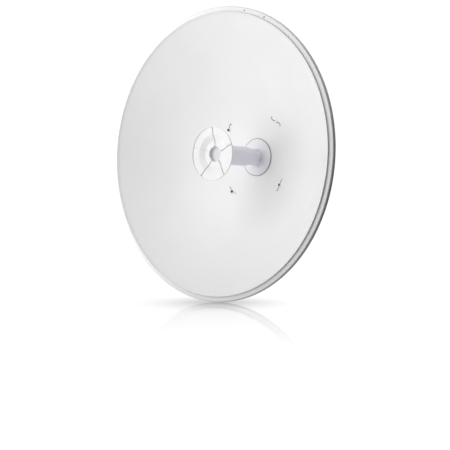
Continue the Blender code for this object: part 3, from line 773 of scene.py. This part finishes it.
def makeCap():
    front, mouth, outer = cap["front"], cap["mouth"], cap["radius"]
    lip = outer - cap["lip"]
    edge = front + cap["edge"]
    ring = front + cap["ring"]
    back = front + cap["thickness"]
    face = rounded([
        (mouth, ring + cap["mouthLip"]), (mouth, ring, 0.0005), (cap["coneFoot"], ring, 0.0018),
        (cap["coneTop"], front + cap["coneStart"], 0.0014), (lip - cap["faceIn"], front + cap["shelf"], 0.0005),
        (lip, front, 0.0003), (outer, front, 0.0003), (outer, edge, 0.0006),
        (outer - cap["shoulderIn"], edge + cap["shoulderBack"], 0.002), (cap["backRadius"], back, 0.001),
        (mouth, back, 0.0004)], closed=True)
    section = []
    for first, second in zip(face, face[1:] + face[:1]):
        count = max(1, round(math.dist(first, second) / cap["pace"]))
        for t in (step / count for step in range(count)):
            radius, depth = (start + (end - start) * t for start, end in zip(first, second))
            onFace = float(radius < lip - cap["faceIn"] and depth < ring + cap["faceBack"])
            section.append((radius, atDepth(depth), 0.0, onFace))
    angles = fineAngles(evenly(cap["grooveAngle"], math.tau, cap["grooveCount"]), cap["fine"])
    # the cap's sunk grooves and notch take capPlastic's seam tone as painted shade, and the shallower groove gets
    # less of it
    shallow = np.exp(-aside(angles, cap["shallowAngle"]) ** 2 / cap["shallowSpread"])   # one groove is shallower
    seamOpen = np.outer([row[3] for row in section], 1.0 - cap["shallowShare"] * shallow)
    net = netOf("capNet", section, angles, seamOpen)
    notch = [(lip - cap["notchIn"], side * cap["notchHalf"]) for side in (-1, 1)]
    mesh = pressedInto("feedCap", net, "capPlastic", [[*cap["groovePath"], (lip - cap["grooveEnd"], 0.0)], notch], {
        "Seat Count": cap["grooveCount"], "Seat Circle": 0.0, "First Angle": cap["grooveAngle"],
        "Seam Width": cap["grooveHalf"], "Seam Softness": cap["grooveSoftness"], "Seam Depth": cap["grooveDepth"]})
    settle("feedCap", mesh, "capPlastic", ["feed_cap"], cap["sharp"])


tube = dict(sleeveRadius=0.0216, sleeveEnd=0.0995, radius=0.019, end=0.1322, segments=128,
            mouthDepth=0.0070, mouthTaper=0.0002, mouthRounding=0.0115, toneOut=0.0002, toneBack=0.001,
            windowCount=5, windowAngle=math.radians(-22.0), windowWidth=0.0048, windowLength=0.0036,
            windowDepth=0.0030)
flange = dict(foot=0.0275, root=0.0200, radius=0.0411, front=0.1385, back=0.1401, spigot=0.0355, spigotEnd=0.1432,
              flareSteps=16, toneIn=0.0005, toneBack=0.0002, sealInner=0.0412, sealOuter=0.0426, sealFront=0.1388)


def toned(mesh, within, before):
    # points nearer the axis and further forward than these limits take the finish's second tone
    values = [float(math.hypot(vertex.co.x, vertex.co.z) < within and vertex.co.y + rimToMount < before)
              for vertex in mesh.vertices]
    mesh.attributes.new("seam", "FLOAT", "POINT").data.foreach_set("value", values)


def makeTube():
    top = cap["front"] + cap["thickness"] + gap
    mouth, deep = cap["mouth"], tube["mouthDepth"]
    wide, sleeveEnd = tube["sleeveRadius"], tube["sleeveEnd"]
    sleeve = turned("feedSleeve", [
        (0, deep), (mouth - tube["mouthTaper"], deep, tube["mouthRounding"]), (mouth, top, 0.0003),
        (wide, top, 0.0004), (wide, sleeveEnd, 0.0009), (0, sleeveEnd)], tube["segments"], steps=4)
    # painted shade: the inside of the mouth takes tubePlastic's darker second tone
    toned(sleeve, mouth + tube["toneOut"], deep + tube["toneBack"])
    settle("feedSleeve", sleeve, "tubePlastic", ["feed_sleeve"])

    start, end, radius = sleeveEnd + gap, tube["end"], tube["radius"]
    body = turned("feedTube", [(0, start), (radius, start), (radius, end, 0.0003), (0, end)], tube["segments"])
    outline = oblong(radius - tube["windowDepth"], radius + cutSpare, tube["windowWidth"] / 2)
    windows = []
    for angle in evenly(tube["windowAngle"], math.tau, tube["windowCount"]):
        windows.append(prism("window", outline, end - tube["windowLength"], end + cutSpare))
        windows[-1].transform(Matrix.Rotation(-angle, 4, "Y"))
    settle("feedTube", carved("feedTube", body, [joined("windows", windows)]), "tubePlastic", ["feed_tube"])


def makeFlange():
    start = tube["end"] + gap
    foot, front, back = flange["foot"], flange["front"], flange["back"]
    profile = [(0, start)]
    for step in range(flange["flareSteps"] + 1):
        turn = math.radians(90 * step / flange["flareSteps"])
        profile.append((foot - (foot - flange["root"]) * math.cos(turn), start + (front - start) * math.sin(turn)))
    profile += [(flange["radius"], front, 0.0002), (flange["radius"], back, 0.0002), (flange["spigot"], back),
                (flange["spigot"], flange["spigotEnd"]), (0, flange["spigotEnd"])]
    mesh = turned("feedFlange", profile, tube["segments"])
    toned(mesh, foot - flange["toneIn"], front - flange["toneBack"])
    settle("feedFlange", mesh, "flangePlastic", ["feed_base_flange"])
    # a rubber seal ring round the flange's edge, whose dark tone is also painted shade for the gap under that edge
    inner, outer, sealFront = flange["sealInner"], flange["sealOuter"], flange["sealFront"]
    seal = turned("flangeSeal", [(inner, sealFront, 0.0002), (outer, sealFront, 0.0004), (outer, back, 0.0002),
                                 (inner, back, 0.0002)], tube["segments"], closed=True)
    settle("flangeSeal", seal, "sealShadeRubber")


makeCap()
makeTube()
makeFlange()
print("feed made")


# Fixings through the bowl

padFloor = bowl["depth"] - bowl["boltCircle"] ** 2 / (4 * bowl["focus"])   # depth of the flat seats
plateFront, plateThickness = 0.152, 0.004
bowlBolt = dict(radius=0.0029, headRadius=0.0050, headHeight=0.0012, headTop=0.75, headEdge=0.0003,
                socketFlats=0.0064, socketDepth=0.0010, socketGap=0.0002, shankStart=0.0009, threadLead=0.002,
                pitch=0.0010, overrun=0.003, nutFlats=0.010, nutHeight=0.005, nutSeed=8,
                holeRadius=0.0033, spacerRadius=0.008, spacerSeat=0.0026)
boltRing = {"Count": bowl["boltCount"], "Circle": bowl["boltCircle"], "First Angle": bowl["boltAngle"]}
thread = dict(core=0.93, shoulder=0.1, chamfer=0.0006)          # shares of the radius and of the pitch, metres
nutShape = dict(chamfer=0.55, face=0.97, spare=0.0001, spareCorner=0.0002, holeSpare=0.01)


def threaded(start, end, radius, pitch):
    # the turned outline of a thread, from one depth to another
    points, depth, shoulder = [], start, thread["shoulder"]
    while depth + pitch < end - pitch * 0.4:
        points += [(radius, depth + shoulder * pitch), (radius * thread["core"], depth + 0.5 * pitch),
                   (radius, depth + (1 - shoulder) * pitch)]
        depth += pitch
    return points + [(radius, end - thread["chamfer"]), (radius - thread["chamfer"], end)]


def hexNut(name, flats, height, holeRadius, low):
    # a nut with chamfered corners and a round hole
    corner, face = flats / math.sqrt(3.0), flats / 2 * nutShape["face"]
    drop = (corner - flats / 2) * nutShape["chamfer"]
    bottom, top = low - nutShape["spare"], low + height + nutShape["spare"]
    wide = corner + nutShape["spareCorner"]
    barrel = turned("barrel", [(0, bottom), (face, bottom), (wide, low + drop), (wide, low + height - drop),
                               (face, top), (0, top)], 48)
    hole = rod("hole", holeRadius, low - nutShape["holeSpare"], low + height + nutShape["holeSpare"], 32)
    body = carved(name, prism(name, hexagon(flats), low, low + height), [barrel], "INTERSECT")
    return outward(carved(name, body, [hole]))


def ringOf(name, mesh, coat, nodes, values):
    settle(name, grown(name, mesh, ringTree, coat, values), coat, nodes)


def makeBowlFixings():
    nutStart = plateFront + plateThickness + gap
    end = nutStart + bowlBolt["nutHeight"] + bowlBolt["overrun"]
    slope = math.atan(bowl["boltCircle"] / (2 * bowl["focus"]))
    centre = Vector((0.0, atDepth(padFloor), 0.0))
    lie = Matrix.Translation(centre) @ Matrix.Rotation(-slope, 4, "Z") @ Matrix.Translation(-centre)
    top = padFloor - gap - bowlBolt["headHeight"]
    radius, bottom = bowlBolt["headRadius"], top + bowlBolt["headHeight"]
    head = turned("boltHead", [(0, top), (radius * bowlBolt["headTop"], top, 0.001),
                               (radius, bottom - bowlBolt["headEdge"], 0.0003), (radius, bottom), (0, bottom)], 32)
    head.transform(lie)
    start, radius = padFloor - bowlBolt["shankStart"], bowlBolt["radius"]
    shank = [(0, start), (radius, start)]
    shank += threaded(nutStart - bowlBolt["threadLead"], end, radius, bowlBolt["pitch"]) + [(0, end)]
    bolt = carved("bowlBolt", head, [turned("boltShank", shank, 32)], "UNION")
    flats, depth, spare = bowlBolt["socketFlats"], top + bowlBolt["socketDepth"], bowlBolt["socketGap"]
    socket = prism("socket", hexagon(flats), top - cutSpare, depth)
    socket.transform(lie)
    bolt = carved("bowlBolt", bolt, [socket])
    numbers = range(1, bowl["boltCount"] + 1)
    ringOf("bowlBolts", bolt, "boltPaint", [f"reflector_bolt_{n}" for n in numbers], {**boltRing, "Follow": 1.0})
    # painted shade: a dark floor sits nearly flush in each socket, standing for the shade down in the socket
    floor = prism("socketShadeFloor", hexagon(flats - spare), top + spare, depth - spare / 2)
    floor.transform(lie)   # the first bolt has no dark floor in its socket
    ringOf("boltSocketFloors", floor, "socketShade", (), {
        **boltRing, "Follow": 1.0, "First Angle": bowl["boltAngle"] + quarter, "Left Out": 1})

    start, end = padFloor + bowlBolt["spacerSeat"] + gap, plateFront - gap
    hole, wide = bowlBolt["holeRadius"], bowlBolt["spacerRadius"]
    spacer = turned("spacer", [(hole, start, 0.0003), (wide, start, 0.0006), (wide, end, 0.0006),
                               (hole, end, 0.0003)], 48, closed=True)
    ringOf("bowlSpacers", spacer, "zincSteel", [f"spacer_{n}" for n in numbers], boltRing)
    nut = hexNut("bowlNut", bowlBolt["nutFlats"], bowlBolt["nutHeight"], hole, nutStart)
    ringOf("bowlNuts", nut, "zincSteel", [f"reflector_nut_{n}" for n in numbers], {
        **boltRing, "Random Turn": 1.0, "Seed": bowlBolt["nutSeed"]})


makeBowlFixings()
print("bowl fixings made")


# The hub behind the bowl

hub = dict(collarRadius=0.046, collarFront=0.1435, radius=0.038, end=0.186, coverRadius=0.040, coverThickness=0.0065,
           waist=(0.164, 0.1655, 0.1785, 0.180), waistIn=0.0012, ribCount=32, ribEnds=(0.1662, 0.1778),
           ribOut=0.0013, ribHalf=0.0009, ribInset=0.0001, ribRounding=0.0003)
coverScrew = dict(count=4, circle=0.0325, angle=math.radians(45), radius=0.0026, sunk=0.0002, wellSpare=0.0008,
                  wellDepth=0.0016, wellTop=0.01, floorGap=0.0001, slotHalfLength=0.0016, slotHalfWidth=0.00035,
                  slotDepth=0.0008, turn=1.5, seed=5)
connector = dict(spacing=0.032, flats=0.018, base=0.003, baseRounding=0.0004, radius=0.0075, length=0.013,
                 threadLead=0.001, pitch=0.0011)
rubberCap = dict(radius=0.009, length=0.008, ribOut=0.0005, dimple=0.0045, dimpleFloor=0.0040, dimpleDepth=0.0006,
                 ribCount=20, ribEnds=(0.0006, 0.0018), ribRounding=0.0002,
                 ribOutline=((-0.0004, -0.0005), (0.0005, -0.0004), (0.0005, 0.0004), (-0.0004, 0.0005)))


def makeHub():
    wide, start, end = hub["collarRadius"], hub["collarFront"], plateFront - gap
    collar = turned("rearCollar", [(0, start), (wide, start, 0.001), (wide, end, 0.0008), (0, end)])
    settle("rearCollar", collar, "zincSteel", ["rear_collar"])

    radius, end = hub["radius"], hub["end"]
    narrow = radius - hub["waistIn"]
    waist = [(width, depth, 0.0006) for width, depth in zip((radius, narrow, narrow, radius), hub["waist"])]
    body = [(0, plateFront), (radius, plateFront), *waist, (radius, end, 0.0004), (0, end)]
    settle("hubHousing", turned("hubHousing", body), "hubPlastic", ["hub_housing"])
    rib = prism("hubRib", oblong(-hub["ribOut"], 0.0, hub["ribHalf"]), *hub["ribEnds"], hub["ribRounding"])
    ringOf("hubRibs", rib, "hubPlastic", (), {
        "Count": hub["ribCount"], "Circle": radius - hub["ribInset"], "Follow": 1.0})


def makeCover():
    front, radius = hub["end"] + gap, hub["coverRadius"]
    back = front + hub["coverThickness"]
    cover = turned("hubCover", [(0, front), (radius, front, 0.0005), (radius, back, 0.0025), (0, back)], steps=5)
    angles = evenly(coverScrew["angle"], math.tau, coverScrew["count"])
    ends = back - coverScrew["wellDepth"], back + coverScrew["wellTop"]
    wells = rods("well", coverScrew["radius"] + coverScrew["wellSpare"], ends, 32, coverScrew["circle"], angles)
    settle("hubCover", carved("hubCover", cover, [joined("wells", wells)]), "hubPlastic", ["hub_cover"])

    top, radius = back - coverScrew["sunk"], coverScrew["radius"]
    bottom = back - coverScrew["wellDepth"] - coverScrew["floorGap"]
    screw = turned("coverScrew", [(0, top), (radius, top, 0.0006), (radius, bottom), (0, bottom)], 28)
    length = coverScrew["slotHalfLength"]
    slots = [prism("driveSlot", oblong(-length, length, coverScrew["slotHalfWidth"]), top - coverScrew["slotDepth"],
                   top + cutSpare)]
    slots.append(slots[0].copy())
    slots[1].transform(Matrix.Rotation(quarter, 4, "Y"))
    ringOf("coverScrews", carved("coverScrew", screw, slots), "zincSteel", (), {
        "Count": coverScrew["count"], "Circle": coverScrew["circle"], "First Angle": coverScrew["angle"],
        "Random Turn": coverScrew["turn"], "Seed": coverScrew["seed"]})
    return back


def makeConnectors(start):
    low = start + gap
    base, end = low + connector["base"], low + connector["length"]
    bottom = end + gap
    top = bottom + rubberCap["length"]
    wide, lead = connector["radius"], connector["threadLead"]
    for side, across in (("left", -connector["spacing"] / 2), ("right", connector["spacing"] / 2)):
        nut = prism("connectorNut", hexagon(connector["flats"]), low, base, connector["baseRounding"])
        barrel = [(0, base - lead), (wide, base - lead)]
        barrel += threaded(base + lead, end, wide, connector["pitch"]) + [(0, end)]
        body = carved("connector", nut, [turned("connectorBarrel", barrel, 48)], "UNION")
        settle(f"connector{side.title()}", moved(body, across), "zincSteel", [f"connector_{side}"])

        radius = rubberCap["radius"] - rubberCap["ribOut"]
        floor = top - rubberCap["dimpleDepth"]
        body = turned("connectorCap", [
            (0, bottom), (radius, bottom, 0.0004), (radius, top, 0.0016), (rubberCap["dimple"], top, 0.0006),
            (rubberCap["dimpleFloor"], floor, 0.0004), (0, floor)], 48, steps=4)
        rib = prism("capRib", rubberCap["ribOutline"], bottom + rubberCap["ribEnds"][0],
                    top - rubberCap["ribEnds"][1], rubberCap["ribRounding"])
        ribs = grown("capRibs", rib, ringTree, "capRubber", {
            "Count": rubberCap["ribCount"], "Circle": radius, "Follow": 1.0, "Across": across})
        settle(f"connectorCap{side.title()}", joined("connectorCap", [moved(body, across), ribs]), "capRubber",
               [f"connector_cap_{side}"])


makeHub()
makeConnectors(makeCover())
print("hub made")


# The bracket

bracket = dict(edge=0.0005, cheek=0.055, arm=0.0507, pivotDepth=0.216, pivotHeight=-0.028, slotReach=0.056)
weld = dict(radius=0.0021, pitch=0.0016, seed=11, cheekDepth=0.1563, cheekHalf=0.058, armDepth=0.2457, armHalf=0.044)
joint = dict(boltRadius=0.0039, holeRadius=0.0043, nutFlats=0.013, nutHeight=0.0065, washerRadius=0.009,
             washerThickness=0.0016, overrun=0.003, pitch=0.00125, threadLength=0.016, headDrop=0.0006,
             headSpare=0.001, overlap=0.002, boltSeed=2, nutSeed=6)
halfPlate = plateThickness / 2


def makePlates():
    for node, name in (("back_plate", "backPlate"), ("cheek_left", "cheekLeft"), ("cheek_right", "cheekRight"),
                       ("arm_left", "armLeft"), ("arm_right", "armRight"), ("mast_plate", "mastPlate")):
        settle(name, softened(node, bracket["edge"]), "bracketPaint", [node], None)


def makeWelds():
    points = []
    for sign in (-1, 1):
        for face in (-halfPlate, halfPlate):
            for place in ("cheek", "arm"):
                half = weld[place + "Half"]
                points += [(sign * bracket[place] + face, atDepth(weld[place + "Depth"]), z) for z in (-half, half)]
    mesh = meshWith("weldLines", points, [(start, start + 1) for start in range(0, len(points), 2)])
    mesh = grown("weldBeads", mesh, beadTree, "bracketPaint", {
        "Radius": weld["radius"], "Pitch": weld["pitch"], "Seed": weld["seed"]})
    settle("weldBeads", mesh, "bracketPaint")


def alongX(mesh, start):
    # a piece drawn along the dish's axis from depth 0 is laid along X, from start outwards
    moved(mesh, y=rimToMount).transform(Matrix.Rotation(-quarter, 4, "Z"))
    return moved(mesh, start)


def fourOf(name, mesh, kind, turn=0.0, seed=0):
    # the same fixing at the pivot and in the slot, on both cheeks
    values = {"Lower Height": bracket["pivotHeight"], "Spacing": bracket["slotReach"],
              "Depth Y": atDepth(bracket["pivotDepth"]), "Random Turn": turn, "Seed": seed}
    nodes = [f"{what}_{kind}_{side}" for what in ("pivot", "lock") for side in ("left", "right")]
    settle(name, grown(name, mesh, pairTree, "zincSteel", values), "zincSteel", nodes)


def makeJointFixings():
    cheekFace, armFace = bracket["cheek"] + halfPlate, bracket["arm"] - halfPlate
    hole, wide, thick = joint["holeRadius"], joint["washerRadius"], joint["washerThickness"]
    washer = turned("jointWasher", [(hole, 0, 0.0002), (wide, 0, 0.0004), (wide, thick, 0.0004),
                                    (hole, thick, 0.0002)], 48, closed=True, steps=2)
    fourOf("jointWashers", alongX(washer, cheekFace + gap), "washer")

    headStart = cheekFace + 2 * gap + thick
    flats, height, radius = joint["nutFlats"], joint["nutHeight"], joint["boltRadius"]
    end = -(headStart - armFace + gap + height + joint["overrun"])
    corner, top = flats / math.sqrt(3.0) + joint["headSpare"], height + nutShape["spare"]
    barrel = turned("headBarrel", [(0, -joint["headSpare"]), (corner, -joint["headSpare"]),
                                   (corner, height - joint["headDrop"]), (flats / 2 * nutShape["face"], top),
                                   (0, top)], 48)
    head = carved("jointHead", prism("jointHead", hexagon(flats), 0.0, height), [barrel], "INTERSECT")
    shank = [(0, end), (radius - thread["chamfer"], end), (radius, end + thread["chamfer"])]
    depth = end + thread["chamfer"] + 0.0001
    while depth < end + joint["threadLength"]:
        shank += [(radius, depth), (radius * thread["core"], depth + joint["pitch"] / 2)]
        depth += joint["pitch"]
    shank += [(radius, depth), (radius, joint["overlap"]), (0, joint["overlap"])]
    bolt = carved("jointBolt", head, [turned("shank", shank, 32)], "UNION")
    fourOf("jointBolts", alongX(bolt, headStart), "bolt", 1.0, joint["boltSeed"])

    nut = hexNut("jointNut", flats, height, hole, 0.0)
    fourOf("jointNuts", alongX(nut, armFace - gap - height), "nut", 1.0, joint["nutSeed"])


# the angles are whole degrees, and the marks that are longer come at every ninth degree
scaleMark = dict(step=3, swing=18, every=9, reach=0.0655, width=0.0005, length=0.0022, longer=0.0038, proud=0.00015,
                 sunk=0.0002)


def makeScale():
    # plain elevation marks beside the curved slot, on the outer face of each cheek
    pivot = (0.0, atDepth(bracket["pivotDepth"]), bracket["pivotHeight"])
    swing, width, proud = scaleMark["swing"], scaleMark["width"], scaleMark["proud"]
    meshes = []
    for sign in (1, -1):
        middle = sign * (bracket["cheek"] + halfPlate) + sign * proud / 2
        for angle in range(-swing, swing + 1, scaleMark["step"]):
            length = scaleMark["length"] if angle % scaleMark["every"] else scaleMark["longer"]
            work = bmesh.new()
            bmesh.ops.create_cube(work, size=1.0)
            bmesh.ops.scale(work, verts=work.verts, vec=(proud + scaleMark["sunk"], width, length))
            bmesh.ops.translate(work, verts=work.verts, vec=(middle, 0.0, scaleMark["reach"] + length / 2))
            bmesh.ops.rotate(work, verts=work.verts, matrix=Matrix.Rotation(math.radians(angle), 3, "X"))
            bmesh.ops.translate(work, verts=work.verts, vec=pivot)
            meshes.append(meshFrom(work, "mark"))
    settle("scaleMarks", joined("scaleMarks", meshes), "markInk")


makePlates()
makeWelds()
makeJointFixings()
makeScale()
print("bracket made")


# Camera, light and floor

view = dict(place=(2.22197, -2.66516, -0.23612), pitch=91.4033, turn=42.235, lens=120.0, sensor=36.0, far=60.0)


def makeCamera():
    data = bpy.data.cameras.new("studioCamera")
    data.lens = view["lens"]
    data.sensor_width = view["sensor"]
    data.clip_end = view["far"]
    camera = placed("studioCamera", data)
    camera.location = view["place"]
    camera.rotation_euler = (math.radians(view["pitch"]), 0.0, math.radians(view["turn"]))
    scene.camera = camera


# broad soft panels of light far away: where from, how narrow, how bright
skyPanels = {
    "left": dict(aim=(-1.0, 0.0, 0.0), power=2.0, strength=0.28),
    "behindHigh": dict(aim=(-0.3, 0.75, 0.55), power=3.0, strength=1.71),
    "frontHigh": dict(aim=(0.0, -0.8, 0.6), power=8.0, strength=0.96),
    "frontRight": dict(aim=(0.8, -0.55, 0.15), power=12.0, strength=0.47),
    "frontLeft": dict(aim=(-0.6, -0.5, 0.6), power=4.0, strength=0.37),
}
backdrop = 1.05     # strength of the white behind, as the camera sees it
white = (1.0, 1.0, 1.0, 1.0)


def emptied(owner):
    owner.use_nodes = True
    owner.node_tree.nodes.clear()
    return owner.node_tree


def makeWorld():
    scene.world = bpy.data.worlds.new("studioWorld")
    tree = emptied(scene.world)
    way = addNode(tree, "ShaderNodeSeparateXYZ", {"Vector": addNode(tree, "ShaderNodeTexCoord")["Generated"]})
    soft = 0.0
    for panel in skyPanels.values():
        aim = Vector(panel["aim"]).normalized()
        facing = way["X"] * aim.x + way["Y"] * aim.y + way["Z"] * aim.z
        soft = maths("POWER", maths("MAXIMUM", facing, 0.0), panel["power"]) * panel["strength"] + soft
    seen = addNode(tree, "ShaderNodeLightPath")["Is Camera Ray"]
    glow = addNode(tree, "ShaderNodeBackground", {"Color": white, "Strength": soft + seen * (backdrop - soft)})
    addNode(tree, "ShaderNodeOutputWorld", {"Surface": glow["Background"]})


# the rim stands on the floor at y = -contact
studio = dict(height=-0.3249, size=14.0, contact=0.24, glow=1.10, shade=0.5, shadeReach=0.02, shadePower=1.3,
              shadeFloor=0.5, patch=0.70, patchWide=0.113, patchLong=0.43,
              bounce=1.38, bounceFrom=-0.1, bounceTo=0.58, bounceNear=0.15, bounceFar=0.75, bounceLeast=0.3,
              shine=0.41, shineNear=0.7, shineFar=2.5, shineRough=0.04)


def makeFloor():
    # seen by the camera it is white and glossy with a painted contact shadow; other rays get a bright left half and
    # a dark right one
    height, half = studio["height"], studio["size"] / 2
    corners = [(x, y, height) for x, y in ((-half, -half), (half, -half), (half, half), (-half, half))]
    mesh = meshWith("studioFloor", corners, faces=[(0, 1, 2, 3)])
    floor = placed("studioFloor", mesh)
    made = bpy.data.materials.new("whiteFloor")
    mesh.materials.append(made)
    tree = emptied(made)
    place = addNode(tree, "ShaderNodeSeparateXYZ", {"Vector": addNode(tree, "ShaderNodeTexCoord")["Object"]})
    x, away = place["X"], place["Y"] + studio["contact"]
    distance = maths("SQRT", x * x + away * away)

    # painted contact shadow: darker where the rim nearly touches it, and in a soft long painted shadow patch under
    # the dish
    closed = addNode(tree, "ShaderNodeAmbientOcclusion", {"Distance": studio["shadeReach"]}, samples=16)["AO"]
    covered = maths("POWER", 1.0 - closed, studio["shadePower"])
    level = maths("MAXIMUM", studio["glow"] - covered * studio["shade"], studio["shadeFloor"])
    toward = (Vector(view["place"]).xy + Vector((0.0, studio["contact"]))).normalized()
    along = (x * toward.x + away * toward.y) / studio["patchLong"]
    across = (x * toward.y - away * toward.x) / studio["patchWide"]
    patch = maths("EXPONENT", (along * along + across * across) * -1.0) * studio["patch"]
    shaded = addNode(tree, "ShaderNodeEmission", {"Color": white, "Strength": level - patch})["Emission"]
    gloss = addNode(tree, "ShaderNodeBsdfAnisotropic", {"Color": white, "Roughness": studio["shineRough"]})["BSDF"]
    shine = ramped(distance, studio["shineNear"], studio["shineFar"], studio["shine"], 0.0)
    polished = addNode(tree, "ShaderNodeMixShader", {"Fac": shine, 1: shaded, 2: gloss})["Shader"]

    thrown = ramped(x, studio["bounceFrom"], studio["bounceTo"], studio["bounce"], 0.0)
    near = ramped(distance, studio["bounceNear"], studio["bounceFar"], studio["bounceLeast"], 1.0)
    bounce = addNode(tree, "ShaderNodeEmission", {"Color": white, "Strength": thrown * near})["Emission"]
    seen = addNode(tree, "ShaderNodeLightPath")["Is Camera Ray"]
    both = addNode(tree, "ShaderNodeMixShader", {"Fac": seen, 1: bounce, 2: polished})["Shader"]
    addNode(tree, "ShaderNodeOutputMaterial", {"Surface": both})


keyPanel = dict(place=(-0.5, -1.4, 0.3), aim=(0.0, -0.15, 0.0), size=1.7, power=10.3)


def makeLamp():
    data = bpy.data.lights.new("keyPanel", "AREA")
    data.shape = "DISK"
    data.size = keyPanel["size"]
    data.energy = keyPanel["power"]
    lamp = placed("keyPanel", data)
    lamp.location = keyPanel["place"]
    lamp.rotation_euler = (Vector(keyPanel["aim"]) - Vector(keyPanel["place"])).to_track_quat("-Z", "Y").to_euler()
    lamp.visible_camera = False


makeCamera()
makeWorld()
makeFloor()
makeLamp()
scene.view_settings.view_transform = "Standard"
print("camera, light and floor set")
